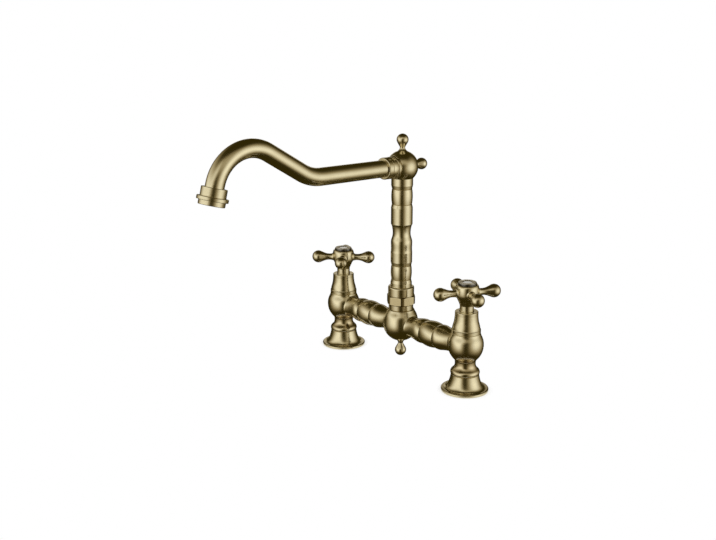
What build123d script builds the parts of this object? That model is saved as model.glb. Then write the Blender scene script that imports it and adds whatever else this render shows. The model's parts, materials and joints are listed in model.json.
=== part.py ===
from build123d import *

import os
from math import cos, radians, sin, sqrt

# A bridge kitchen faucet in brass, in millimetres. The origin is on the deck, midway between the
# two pillars. X runs along the bridge, the spout points along -Y and Z is up.

os.makedirs("parts", exist_ok=True)

# Fits, as gaps on the radius or between faces
THREAD_FIT = 0.05
PRESS_FIT = 0.02
TURNING_FIT = 0.05
LIP_FIT = 0.08
SEAL_FIT = 0.01
RUNNING_GAP = 0.02
EDGE_BREAK = 0.4

# Inlet, pillar tail and base flange
INLET_THREAD_RADIUS = 9.3
INLET_THREAD_LENGTH = 14.0
INLET_BORE_RADIUS = 6.5
TAIL_WALL = 3.2
FLANGE_RADIUS = 25.7
FLANGE_HEIGHT = 18.0
FLANGE_RIM = 2.9
FLANGE_RIM_WIDTH = 2.7
FLANGE_NECK_WALL = 2.7
DECK_SEAL_INSET = 1.7
DECK_SEAL_WIDTH = 4.0
DECK_SEAL_THICKNESS = 1.6

# Pillar outside
PILLAR_SPACING = 200.0
RING_HEIGHT = 6.0
RING_SWELL = 0.6
NECK_RADIUS = 11.2
NECK_HEIGHT = 10.0
BULB_RADIUS = 19.1
BULB_BELOW = 16.2
BULB_ABOVE = 14.8
BOSS_FILLET = 3.0

# Valve: ceramic discs, valve body and spindle
DISC_RADIUS = 7.5
DISC_THICKNESS = 3.0
DISC_SIDE_GAP = 0.1
DISC_PORT_RADIUS = 2.1
DISC_PORT_OFFSET = 3.2
DISC_SLOT_WIDTH = 3.0
DISC_SLOT_DEPTH = 1.0
SEAT_SEAL_WIDTH = 2.1
SEAT_SEAL_THICKNESS = 1.6
SEAT_SEAL_STANDOUT = 1.0
BARREL_WALL = 1.3
CHAMBER_GAP = 0.9
WINDOW_WIDTH = 9.0
VALVE_REACH = 25.0
VALVE_THREAD_STEP = 1.5
VALVE_THREAD_LENGTH = 8.0
VALVE_WASHER_WIDTH = 1.85
VALVE_WASHER_THICKNESS = 1.4
VALVE_HEX_STEP = 1.2
VALVE_HEX_HEIGHT = 3.3
VALVE_COLLAR_HEIGHT = 4.7
VALVE_GUIDE_HEIGHT = 10.5
SPINDLE_RADIUS = 4.0
SPINDLE_GUIDE_WALL = 1.65
SPINDLE_FOOT_HEIGHT = 2.4
SPINDLE_RING_SECTION = 1.5
SPINDLE_CLIP_THICKNESS = 1.0
SPINDLE_CLIP_DEPTH = 0.6
SPLINE_TEETH = 16
SPLINE_DEPTH = 0.4

# Bonnet
BONNET_HEIGHT = 23.6
BONNET_LIP_HEIGHT = 4.0
BONNET_LIP_STEP = 0.6
BONNET_WALL = 1.3
BONNET_HEX_GAP = 0.9
BONNET_TOP_THICKNESS = 2.0
BONNET_TOP_RIM = 4.3
BONNET_CAVITY_STEP = 2.0
BONNET_ROUND = 0.8

# Cross handle with its screw, bezel and index disc
SKIRT_WALL = 1.3
SKIRT_CLIP_GAP = 0.5
SKIRT_BONNET_GAP = 0.6
SKIRT_OVERLAP = 2.5
SKIRT_RISE = 6.2
HUB_HEIGHT = 22.9
HUB_LEDGE = 0.8
HUB_SWELL = 1.7
HUB_BELLY_DROP = 7.7
ARM_DROP = 9.0
ARM_BALL_RADIUS = 7.3
ARM_BALL_REACH = 30.0
ARM_WAIST_RADIUS = 3.7
ARM_WAIST_REACH = 16.5
ARM_ROOT_RADIUS = 5.2
ARM_COUNT = 4
ARM_FILLET = 2.0
LEFT_HANDLE_ANGLE = 44.2
RIGHT_HANDLE_ANGLE = 63.3
SPLINE_LENGTH = 12.0
SCREW_RADIUS = 2.0
SCREW_LENGTH = 12.0
SCREW_HEAD_RADIUS = 3.6
SCREW_HEAD_HEIGHT = 2.4
SCREW_HEAD_GAP = 0.6
SCREW_HOLE_GAP = 0.2
SCREW_KEY_RADIUS = 1.5
SCREW_KEY_DEPTH = 1.4
SCREW_WEB = 4.0
BEZEL_RADIUS = 10.2
BEZEL_HEIGHT = 2.8
BEZEL_LEDGE = 1.3
BEZEL_PLUG_HEIGHT = 4.2
BEZEL_POCKET_DEPTH = 1.6
BEZEL_ROUND = 1.1
INDEX_RADIUS = 5.0
INDEX_THICKNESS = 1.2

# Bridge: centre body, the two arms and their joints
BRIDGE_BORE_RADIUS = 5.5
CENTRE_BORE_RADIUS = 6.5
SPIGOT_RADIUS = 9.0
SPIGOT_LENGTH = 12.0
SPIGOT_END_GAP = 0.5
SPIGOT_RING_SECTION = 2.0
BRIDGE_WAIST_WALL = 2.8
BRIDGE_JOINT_WALL = 4.1
CENTRE_REACH = 41.0
CENTRE_WAIST_SETBACK = 15.5
CENTRE_BEAD_SETBACK = 5.5
CENTRE_BEAD_SWELL = 0.65
PILLAR_REACH = 38.5
PILLAR_BEAD_SETBACK = 5.0
PILLAR_BEAD_SWELL = 0.85
ARM_BEAD_SWELL = 1.5
CENTRE_RADIUS = 20.0
CENTRE_NECK_HEIGHT = 23.8
CENTRE_NECK_STEP = 0.75
CENTRE_SHOULDER_STEP = 1.1
CENTRE_SHOULDER_DROP = 6.5
CENTRE_FILLET = 2.0

# Swivel joint: stub, nut, bush and the riser column's foot
COLUMN_RADIUS = 12.0
COLUMN_WALL = 5.0
COLUMN_FOOT_STEP = 1.5
COLUMN_FOOT_LENGTH = 18.0
COLUMN_RING_SECTION = 2.0
COLUMN_RING_SPACING = 7.0
STUB_WALL = 2.6
STUB_HEIGHT = 14.0
STUB_BORE_EXTRA = 4.0
RETAINER_HEIGHT = 2.0
RETAINER_GAP = 0.25
BUSH_HEIGHT = 1.4
NUT_WALL = 2.0
NUT_LIP = 3.2
NUT_FOOT_GAP = 0.4
NUT_TAPER = 1.0
NUT_CORNER_STEP = 1.3
NUT_HEX_HEIGHT = 10.2
NUT_COLLAR_WALL = 1.5
NUT_ROUND = 1.8
NUT_ANGLE = -37.8

# Riser column above the nut, and the height of the spout head's middle over the deck
SPOUT_HEIGHT = 230.0
COLUMN_FOOT_PLAIN = 8.3
COLUMN_LOWER_BEAD = 16.0
COLUMN_UPPER_BEAD = 17.0
COLUMN_CAP = 11.7
COLUMN_GROOVE_DEPTH = 0.8
COLUMN_BEAD_DROP = 0.15
COLUMN_WAIST_DEPTH = 2.1
COLUMN_TAPER = 4.0
NOTCH = 0.4

# Spout head and finials
HEAD_RADIUS = 17.5
HEAD_STUB_STEP = 2.5
HEAD_STUB_HEIGHT = 4.0
HEAD_WASHER_THICKNESS = 1.0
HEAD_WASHER_WIDTH = 2.4
HEAD_BORE_RADIUS = 5.5
HEAD_FRONT_REACH = 12.0
FINIAL_FOOT_RADIUS = 5.9
FINIAL_WAIST_RADIUS = 2.8
FINIAL_WAIST_HEIGHT = 4.4
FINIAL_BALL_RADIUS = 6.5
FINIAL_HEIGHT = 19.3
FINIAL_SHANK_RADIUS = 2.5
FINIAL_SHANK_LENGTH = 6.0

# Spout collar and tube, and the reach from the column's axis to the middle of the outlet
SPOUT_REACH = 246.6
TUBE_RADIUS = 9.3
TUBE_WALL = 1.2
COLLAR_SPIGOT_WALL = 1.9
COLLAR_WALL = 2.5
COLLAR_RING_SWELL = 0.7
COLLAR_REAR_RING = 3.8
COLLAR_MIDDLE_RING = 6.9
COLLAR_FRONT_RING = 5.9
COLLAR_GROOVE_DEPTH = 0.7
COLLAR_ROUND = 1.2
COLLAR_SOCKET = 11.5
SPOUT_TILT = 1.0
SPOUT_BEND_RADIUS = 49.0
SPOUT_CLIMB_ANGLE = 31.0
SPOUT_CLIMB_RUN = 47.4
SPOUT_ARCH_RADIUS = 41.6
SPOUT_DROP = 2.0
NOZZLE_TILT = 15.0

# Nozzle and aerator
NOZZLE_WALL = 3.25
NOZZLE_COLLAR_LENGTH = 8.8
NOZZLE_SOCKET = 6.0
NOZZLE_SEAT_WIDTH = 1.4
NOZZLE_SEAT_THICKNESS = 1.5
NOZZLE_RING_LENGTH = 3.6
NOZZLE_RING_STEP = 2.7
HOUSING_LENGTH = 4.6
HOUSING_WALL = 1.35
HOUSING_STEP = 2.05
HOUSING_LIP = 1.2
AERATOR_RADIUS = 9.5
AERATOR_WASHER_THICKNESS = 1.0
AERATOR_SCREEN_THICKNESS = 0.5
AERATOR_HOLE_RADIUS = 0.8
AERATOR_HOLE_COUNT = 8

# Heights and radii worked out from the values above
HALF_SPACING = PILLAR_SPACING / 2
RING_TOP = FLANGE_HEIGHT + RING_HEIGHT
BRIDGE_HEIGHT = RING_TOP + NECK_HEIGHT + BULB_BELOW
PILLAR_TOP = BRIDGE_HEIGHT + BULB_ABOVE
SEAT_HEIGHT = PILLAR_TOP - VALVE_REACH
BONNET_TOP = PILLAR_TOP + BONNET_HEIGHT
HUB_FOOT = BONNET_TOP + SKIRT_RISE
HUB_TOP = HUB_FOOT + HUB_HEIGHT
BEZEL_FLOOR = HUB_TOP - BEZEL_PLUG_HEIGHT
SCREW_SEAT = HUB_TOP - ARM_DROP
SPINDLE_TOP = SCREW_SEAT - SCREW_WEB

TAIL_RADIUS = INLET_THREAD_RADIUS + TAIL_WALL
FLANGE_TOP_RADIUS = TAIL_RADIUS + FLANGE_NECK_WALL
BARREL_BORE_RADIUS = DISC_RADIUS + DISC_SIDE_GAP
BARREL_RADIUS = BARREL_BORE_RADIUS + BARREL_WALL
CHAMBER_RADIUS = BARREL_RADIUS + CHAMBER_GAP
VALVE_THREAD_RADIUS = BARREL_RADIUS + VALVE_THREAD_STEP
VALVE_WASHER_RADIUS = VALVE_THREAD_RADIUS + VALVE_WASHER_WIDTH
VALVE_HEX_APOTHEM = VALVE_THREAD_RADIUS + VALVE_HEX_STEP
BONNET_THREAD_RADIUS = VALVE_HEX_APOTHEM - EDGE_BREAK / 4
BONNET_HEX_BORE = VALVE_HEX_APOTHEM / cos(radians(30)) + BONNET_HEX_GAP
BONNET_LIP_RADIUS = BONNET_HEX_BORE + BONNET_WALL
SPINDLE_BORE_RADIUS = SPINDLE_RADIUS + TURNING_FIT
SPINDLE_GUIDE_RADIUS = SPINDLE_BORE_RADIUS + SPINDLE_GUIDE_WALL
SKIRT_BORE_RADIUS = SPINDLE_GUIDE_RADIUS + SKIRT_CLIP_GAP
SKIRT_RADIUS = SKIRT_BORE_RADIUS + SKIRT_WALL
BONNET_OPENING_RADIUS = SKIRT_RADIUS + SKIRT_BONNET_GAP
BONNET_TOP_RADIUS = BONNET_OPENING_RADIUS + BONNET_TOP_RIM
HUB_TOP_RADIUS = BEZEL_RADIUS + HUB_LEDGE
HUB_RADIUS = HUB_TOP_RADIUS + HUB_SWELL
BEZEL_PLUG_RADIUS = BEZEL_RADIUS - BEZEL_LEDGE
GUIDE_TOP = PILLAR_TOP + VALVE_HEX_HEIGHT + VALVE_COLLAR_HEIGHT + VALVE_GUIDE_HEIGHT

BARREL_FOOT = SEAT_HEIGHT + SEAT_SEAL_STANDOUT
FIXED_DISC_FOOT = SEAT_HEIGHT + SEAT_SEAL_THICKNESS
MOVING_DISC_FOOT = FIXED_DISC_FOOT + DISC_THICKNESS + RUNNING_GAP
SPINDLE_FOOT = MOVING_DISC_FOOT + DISC_THICKNESS
BARREL_SHOULDER = SPINDLE_FOOT + SPINDLE_FOOT_HEIGHT + SKIRT_CLIP_GAP / 2

SOCKET_RADIUS = SPIGOT_RADIUS + THREAD_FIT
SOCKET_LENGTH = SPIGOT_LENGTH + SPIGOT_END_GAP
BRIDGE_WAIST_RADIUS = SPIGOT_RADIUS + BRIDGE_WAIST_WALL
BRIDGE_JOINT_RADIUS = SPIGOT_RADIUS + BRIDGE_JOINT_WALL
PILLAR_JOINT = HALF_SPACING - PILLAR_REACH

COLUMN_BORE_RADIUS = COLUMN_RADIUS - COLUMN_WALL
COLUMN_FOOT_RADIUS = COLUMN_RADIUS - COLUMN_FOOT_STEP
STUB_BORE_RADIUS = COLUMN_FOOT_RADIUS + TURNING_FIT
STUB_RADIUS = STUB_BORE_RADIUS + STUB_WALL
NECK_TOP = BRIDGE_HEIGHT + CENTRE_NECK_HEIGHT
STUB_TOP = NECK_TOP + STUB_HEIGHT
RETAINER_FOOT = STUB_TOP + TURNING_FIT
RETAINER_TOP = RETAINER_FOOT + RETAINER_HEIGHT
BUSH_FOOT = RETAINER_TOP + TURNING_FIT
LIP_FOOT = BUSH_FOOT + BUSH_HEIGHT
NUT_TOP = LIP_FOOT + NUT_LIP
NUT_FOOT = NECK_TOP + NUT_FOOT_GAP
LIP_RADIUS = COLUMN_RADIUS + LIP_FIT
NUT_THREAD_RADIUS = STUB_RADIUS + THREAD_FIT
NUT_APOTHEM = NUT_THREAD_RADIUS + NUT_WALL

COLUMN_TOP = SPOUT_HEIGHT - sqrt(HEAD_RADIUS**2 - COLUMN_RADIUS**2)
COLUMN_GROOVES = [
    NUT_TOP + COLUMN_FOOT_PLAIN,
    NUT_TOP + COLUMN_FOOT_PLAIN + COLUMN_LOWER_BEAD,
    COLUMN_TOP - COLUMN_CAP - COLUMN_UPPER_BEAD,
    COLUMN_TOP - COLUMN_CAP,
]
COLUMN_MIDDLE = COLUMN_GROOVES[2] - COLUMN_GROOVES[1]
HEAD_STUB_RADIUS = COLUMN_RADIUS - HEAD_STUB_STEP
HEAD_STUB_TOP = COLUMN_TOP + HEAD_STUB_HEIGHT
HEAD_SOCKET_TOP = HEAD_STUB_TOP + HEAD_WASHER_THICKNESS
HEAD_SOCKET_RADIUS = HEAD_STUB_RADIUS + PRESS_FIT
HEAD_FLAT = sqrt(HEAD_RADIUS**2 - FINIAL_FOOT_RADIUS**2)
CENTRE_FLAT = sqrt(CENTRE_RADIUS**2 - FINIAL_FOOT_RADIUS**2)

TUBE_BORE_RADIUS = TUBE_RADIUS - TUBE_WALL
TUBE_SOCKET_RADIUS = TUBE_RADIUS + THREAD_FIT
COLLAR_SPIGOT_RADIUS = HEAD_BORE_RADIUS + COLLAR_SPIGOT_WALL
COLLAR_FOOT = HEAD_SOCKET_RADIUS + TURNING_FIT
COLLAR_RADIUS = TUBE_SOCKET_RADIUS + COLLAR_WALL
COLLAR_END = HEAD_FRONT_REACH + COLLAR_REAR_RING + COLLAR_MIDDLE_RING + COLLAR_FRONT_RING
TUBE_START = COLLAR_END - COLLAR_SOCKET

NOZZLE_RADIUS = TUBE_SOCKET_RADIUS + NOZZLE_WALL
NOZZLE_RING_END = NOZZLE_COLLAR_LENGTH + NOZZLE_RING_LENGTH
NOZZLE_SEAT = NOZZLE_SOCKET + NOZZLE_SEAT_THICKNESS
HOUSING_FOOT = NOZZLE_SEAT + AERATOR_WASHER_THICKNESS
HOUSING_END = NOZZLE_RING_END + HOUSING_LENGTH
HOUSING_BORE_RADIUS = AERATOR_RADIUS + DISC_SIDE_GAP
HOUSING_THREAD_RADIUS = HOUSING_BORE_RADIUS + HOUSING_WALL

CLIMB_SINE = sin(radians(SPOUT_CLIMB_ANGLE))
BEND_ACROSS = SPOUT_BEND_RADIUS * (CLIMB_SINE - sin(radians(SPOUT_TILT)))
CLIMB_ACROSS = SPOUT_CLIMB_RUN * cos(radians(SPOUT_CLIMB_ANGLE))
ARCH_ACROSS = SPOUT_ARCH_RADIUS * (CLIMB_SINE + cos(radians(NOZZLE_TILT)))
DROP_ACROSS = (SPOUT_DROP + HOUSING_END) * sin(radians(NOZZLE_TILT))
RUN_ACROSS = SPOUT_REACH - BEND_ACROSS - CLIMB_ACROSS - ARCH_ACROSS - DROP_ACROSS
SPOUT_RUN = RUN_ACROSS / cos(radians(SPOUT_TILT))

UPRIGHT_HEAD = Plane((0, 0, SPOUT_HEIGHT))
SPOUT_SIDE = Plane((0, 0, SPOUT_HEIGHT), x_dir=(0, -1, 0), z_dir=(-1, 0, 0))
SPOUT_FORWARD = (0, -cos(radians(SPOUT_TILT)), sin(radians(SPOUT_TILT)))
SPOUT_AXIS = Plane((0, 0, SPOUT_HEIGHT), z_dir=SPOUT_FORWARD)


def along(start, end, *shares):
    """Points on the way from start to end, each by its share across and its share up, then end."""
    across = end[0] - start[0]
    up = end[1] - start[1]
    return [(start[0] + across * u, start[1] + up * v) for u, v in shares] + [end]


def round_point(centre, radius, degrees):
    """The point of a circle at an angle from the radial direction."""
    return (centre[0] + radius * cos(radians(degrees)), centre[1] + radius * sin(radians(degrees)))


def turned(start, *moves):
    """A solid of revolution about Z. Its half outline is given as (radius, height) points: a point
    is reached by a line, a list of two by an arc through the first, a longer list by a curve."""
    edges = []
    here = start
    for move in (*moves, start):
        if not isinstance(move, list):
            edges.append(Line(here, move))
            here = move
        elif len(move) == 2:
            edges.append(ThreePointArc(here, *move))
            here = move[-1]
        else:
            edges.append(Spline(here, *move))
            here = move[-1]
    return revolve(Plane.XZ * make_face(edges), Axis.Z)


def blended(body, limbs, radius):
    """A casting of a body and its limbs, with a fillet where they meet."""
    casting = body + limbs
    return casting.fillet(radius, new_edges(body, *limbs, combined=casting))


def rod(radius, low, high):
    """A cylinder about Z between two heights."""
    return Pos(0, 0, low) * Cylinder(radius, high - low, align=(Align.CENTER, Align.CENTER, Align.MIN))


def ring(outer, inner, low, high):
    """A flat ring about Z between two heights."""
    return rod(outer, low, high) - rod(inner, low, high)


def hexagon(apothem, low, high, angle=0):
    """A hexagonal bar about Z, with a corner at the angle."""
    outline = RegularPolygon(apothem, 6, major_radius=False, rotation=angle)
    return Pos(0, 0, low) * extrude(outline, high - low)


def seal_rings(outer, section, heights):
    """Rubber rings of round section about Z, their outsides at one radius."""
    return Compound([Pos(0, 0, height) * Torus(outer - section / 2, section / 2) for height in heights])


def seal_grooves(outer, section, heights):
    """The grooves that such rings lie in, cut a little deeper and wider than the section."""
    floor = outer - section - SEAL_FIT
    half = section / 2 + TURNING_FIT
    return [ring(outer * 2, floor, height - half, height + half) for height in heights]


def finial():
    """A turned finial standing on Z = 0, its threaded shank below."""
    waist = (FINIAL_WAIST_RADIUS, FINIAL_WAIST_HEIGHT)
    ball = (0, FINIAL_HEIGHT - FINIAL_BALL_RADIUS)
    foot = (FINIAL_FOOT_RADIUS, 0)
    return turned(
        (0, -FINIAL_SHANK_LENGTH),
        (FINIAL_SHANK_RADIUS, -FINIAL_SHANK_LENGTH),
        (FINIAL_SHANK_RADIUS, 0),
        foot,
        along(foot, waist, (0.61, 0.36), (0.93, 0.75)),
        along(waist, round_point(ball, FINIAL_BALL_RADIUS, -20), (0.18, 0.2), (0.55, 0.55)),
        [round_point(ball, FINIAL_BALL_RADIUS, 35), (0, FINIAL_HEIGHT)],
    )


def finial_hole():
    """The tapped hole for a finial's shank, below Z = 0."""
    return rod(FINIAL_SHANK_RADIUS + PRESS_FIT, -FINIAL_SHANK_LENGTH, 0)


def base_flange():
    """Bell-shaped foot with a rounded rim, bored for the pillar's tail and recessed for its seal."""
    rim = (FLANGE_RADIUS - FLANGE_RIM_WIDTH, FLANGE_RIM)
    neck = (FLANGE_TOP_RADIUS, FLANGE_HEIGHT)
    bell = turned(
        (TAIL_RADIUS + THREAD_FIT, 0),
        (FLANGE_RADIUS, 0),
        (FLANGE_RADIUS, FLANGE_RIM / 2),
        [
            (FLANGE_RADIUS - FLANGE_RIM * 0.15, FLANGE_RIM * 0.85),
            (FLANGE_RADIUS - FLANGE_RIM / 2, FLANGE_RIM),
        ],
        rim,
        along(rim, neck, (0.44, 0.11), (0.70, 0.37), (0.86, 0.63), (0.95, 0.84)),
        (TAIL_RADIUS + THREAD_FIT, FLANGE_HEIGHT),
    )
    outer = FLANGE_RADIUS - DECK_SEAL_INSET + THREAD_FIT
    inner = FLANGE_RADIUS - DECK_SEAL_INSET - DECK_SEAL_WIDTH - THREAD_FIT
    return bell - ring(outer, inner, 0, DECK_SEAL_THICKNESS)


def deck_seal():
    """Flat rubber ring, flush with the underside of the flange."""
    outer = FLANGE_RADIUS - DECK_SEAL_INSET
    return ring(outer, outer - DECK_SEAL_WIDTH, 0, DECK_SEAL_THICKNESS)


def pillar_body():
    """Cast pillar: tail, ring bead, neck and bulb, with a boss along X to the bridge."""
    ring_top = (FLANGE_TOP_RADIUS - RING_SWELL * 1.5, RING_TOP)
    waist = (NECK_RADIUS, RING_TOP + NECK_HEIGHT * 0.75)
    belly = (BULB_RADIUS, BRIDGE_HEIGHT)
    rim = (BONNET_LIP_RADIUS, PILLAR_TOP - EDGE_BREAK)
    pillar = Rot(0, 0, 180) * turned(
        (0, 0),
        (TAIL_RADIUS, 0),
        (TAIL_RADIUS, FLANGE_HEIGHT),
        (FLANGE_TOP_RADIUS - EDGE_BREAK, FLANGE_HEIGHT),
        [(FLANGE_TOP_RADIUS + RING_SWELL, FLANGE_HEIGHT + RING_HEIGHT / 2), ring_top],
        along(ring_top, waist, (0.61, 0.27), (0.87, 0.47))
        + along(waist, belly, (0.075, 0.155), (0.3, 0.27), (0.57, 0.42), (0.82, 0.63))
        + along(belly, rim, (0.37, 0.6), (0.83, 0.85)),
        (BONNET_LIP_RADIUS - EDGE_BREAK, PILLAR_TOP),
        (0, PILLAR_TOP),
    )
    bead = (BRIDGE_JOINT_RADIUS + PILLAR_BEAD_SWELL, PILLAR_REACH - PILLAR_BEAD_SETBACK)
    joint = (BRIDGE_JOINT_RADIUS, PILLAR_REACH)
    root = (BRIDGE_WAIST_RADIUS, BULB_RADIUS)
    boss = turned(
        (0, 0),
        (BRIDGE_WAIST_RADIUS, 0),
        root,
        along(root, bead, (0.1, 0.25), (0.6, 0.68)) + [joint],
        (0, PILLAR_REACH),
    )
    socket = rod(SOCKET_RADIUS, PILLAR_REACH - SOCKET_LENGTH, PILLAR_REACH)
    waterway = rod(BRIDGE_BORE_RADIUS, 0, PILLAR_REACH)
    inboard = Plane((0, 0, BRIDGE_HEIGHT), z_dir=(1, 0, 0))
    thread_foot = PILLAR_TOP - VALVE_THREAD_LENGTH
    washer_recess = VALVE_WASHER_RADIUS + THREAD_FIT
    bores = [
        rod(INLET_THREAD_RADIUS, 0, INLET_THREAD_LENGTH),
        rod(INLET_BORE_RADIUS, INLET_THREAD_LENGTH, SEAT_HEIGHT),
        rod(CHAMBER_RADIUS, SEAT_HEIGHT, thread_foot),
        rod(VALVE_THREAD_RADIUS + THREAD_FIT, thread_foot, PILLAR_TOP),
        rod(washer_recess, PILLAR_TOP - VALVE_WASHER_THICKNESS, PILLAR_TOP),
        inboard * socket,
        inboard * waterway,
    ]
    return blended(pillar, [inboard * boss], BOSS_FILLET) - bores


def valve_washer():
    """Flat washer that seals the valve body's hexagon on the pillar."""
    inner = VALVE_THREAD_RADIUS + THREAD_FIT
    return ring(VALVE_WASHER_RADIUS, inner, PILLAR_TOP - VALVE_WASHER_THICKNESS, PILLAR_TOP)


def seat_seal():
    """Rubber ring between the pillar's seat and the fixed disc."""
    inner = BARREL_BORE_RADIUS - SEAT_SEAL_WIDTH
    return ring(DISC_RADIUS, inner, SEAT_HEIGHT, FIXED_DISC_FOOT)


def valve_body():
    """Headgear: barrel round the discs, thread, hexagon, bonnet thread and spindle guide."""
    hex_top = PILLAR_TOP + VALVE_HEX_HEIGHT
    collar_top = hex_top + VALVE_COLLAR_HEIGHT
    body = turned(
        (BARREL_BORE_RADIUS, BARREL_FOOT),
        (BARREL_RADIUS, BARREL_FOOT),
        (BARREL_RADIUS, PILLAR_TOP - VALVE_THREAD_LENGTH),
        (VALVE_THREAD_RADIUS, PILLAR_TOP - VALVE_THREAD_LENGTH + EDGE_BREAK),
        (VALVE_THREAD_RADIUS, PILLAR_TOP),
        (BONNET_THREAD_RADIUS, PILLAR_TOP),
        (BONNET_THREAD_RADIUS, collar_top),
        (SPINDLE_GUIDE_RADIUS, collar_top),
        (SPINDLE_GUIDE_RADIUS, GUIDE_TOP),
        (SPINDLE_BORE_RADIUS, GUIDE_TOP),
        (SPINDLE_BORE_RADIUS, BARREL_SHOULDER),
        (BARREL_BORE_RADIUS, BARREL_SHOULDER),
    )
    wrench_flats = hexagon(VALVE_HEX_APOTHEM, PILLAR_TOP, hex_top)
    window_height = DISC_THICKNESS + EDGE_BREAK
    windows = Pos(0, 0, MOVING_DISC_FOOT + window_height / 2) * Box(
        BARREL_RADIUS * 3, WINDOW_WIDTH, window_height
    )
    return body + (wrench_flats - rod(BONNET_THREAD_RADIUS, PILLAR_TOP, hex_top)) - windows


def fixed_disc():
    """Ceramic disc with two ports along X."""
    disc = rod(DISC_RADIUS, FIXED_DISC_FOOT, FIXED_DISC_FOOT + DISC_THICKNESS)
    port = rod(DISC_PORT_RADIUS, FIXED_DISC_FOOT, FIXED_DISC_FOOT + DISC_THICKNESS)
    return disc - [Pos(side * DISC_PORT_OFFSET, 0, 0) * port for side in (-1, 1)]


def moving_disc():
    """Ceramic disc that covers the ports at rest: its two side openings lie along Y. A slot across
    its top takes the spindle's tongue."""
    disc = rod(DISC_RADIUS - RUNNING_GAP, MOVING_DISC_FOOT, MOVING_DISC_FOOT + DISC_THICKNESS)
    inner = DISC_PORT_RADIUS * 1.15
    opening = Box(DISC_PORT_RADIUS * 2.4, DISC_RADIUS, DISC_THICKNESS * 3)
    cuts = [Pos(0, side * (inner + DISC_RADIUS / 2), MOVING_DISC_FOOT) * opening for side in (-1, 1)]
    slot = Box(DISC_RADIUS * 3, DISC_SLOT_WIDTH, DISC_SLOT_DEPTH * 2)
    return disc - cuts - Pos(0, 0, SPINDLE_FOOT) * slot


def spline_bar(gap, low, high):
    """The serrated end of the spindle, or with a gap the socket that it drives."""
    corners = []
    for tooth in range(SPLINE_TEETH * 2):
        radius = SPINDLE_RADIUS + gap - SPLINE_DEPTH * (tooth % 2)
        corners.append(round_point((0, 0), radius, tooth * 180 / SPLINE_TEETH))
    return Pos(0, 0, low) * extrude(make_face(Polyline(*corners, close=True)), high - low)


def spindle_ring_heights():
    """Middle heights of the two rubber rings on the spindle, inside the valve's thread."""
    top = PILLAR_TOP - VALVE_THREAD_LENGTH / 4
    return [top, top - SPINDLE_RING_SECTION * 3]


def spindle():
    """Brass spindle: tongue and foot on the moving disc, sealed shaft, serrated and tapped end."""
    spline_foot = SPINDLE_TOP - SPLINE_LENGTH
    foot_top = SPINDLE_FOOT + SPINDLE_FOOT_HEIGHT
    foot = rod(DISC_RADIUS - DISC_SIDE_GAP * 3, SPINDLE_FOOT, foot_top)
    tongue = Pos(0, 0, SPINDLE_FOOT - DISC_SLOT_DEPTH / 2) * Box(
        DISC_RADIUS * 1.7, DISC_SLOT_WIDTH - THREAD_FIT * 2, DISC_SLOT_DEPTH
    )
    shaft = rod(SPINDLE_RADIUS, foot_top, spline_foot)
    clip_floor = SPINDLE_RADIUS - SPINDLE_CLIP_DEPTH
    clip_groove = ring(SPINDLE_RADIUS * 2, clip_floor, *spindle_clip_span())
    outer = SPINDLE_BORE_RADIUS - SEAL_FIT
    cuts = seal_grooves(outer, SPINDLE_RING_SECTION, spindle_ring_heights())
    tapping = rod(SCREW_RADIUS + THREAD_FIT, SPINDLE_TOP - SCREW_LENGTH, SPINDLE_TOP)
    return foot + tongue + shaft + spline_bar(0, spline_foot, SPINDLE_TOP) - [*cuts, clip_groove, tapping]


def spindle_o_rings():
    """The two rubber rings that seal the spindle in the valve body."""
    outer = SPINDLE_BORE_RADIUS - SEAL_FIT
    return seal_rings(outer, SPINDLE_RING_SECTION, spindle_ring_heights())


def spindle_clip_span():
    """Lower and upper face of the clip, just above the spindle's guide."""
    low = GUIDE_TOP + TURNING_FIT
    return low, low + SPINDLE_CLIP_THICKNESS


def spindle_clip():
    """Open spring clip in the spindle's groove."""
    low, high = spindle_clip_span()
    outer = SPINDLE_GUIDE_RADIUS - DISC_SIDE_GAP
    inner = SPINDLE_RADIUS - SPINDLE_CLIP_DEPTH
    mouth = Pos(0, outer, low) * Box(inner, outer * 2, SPINDLE_CLIP_THICKNESS * 3)
    return ring(outer, inner, low, high) - mouth


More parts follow.
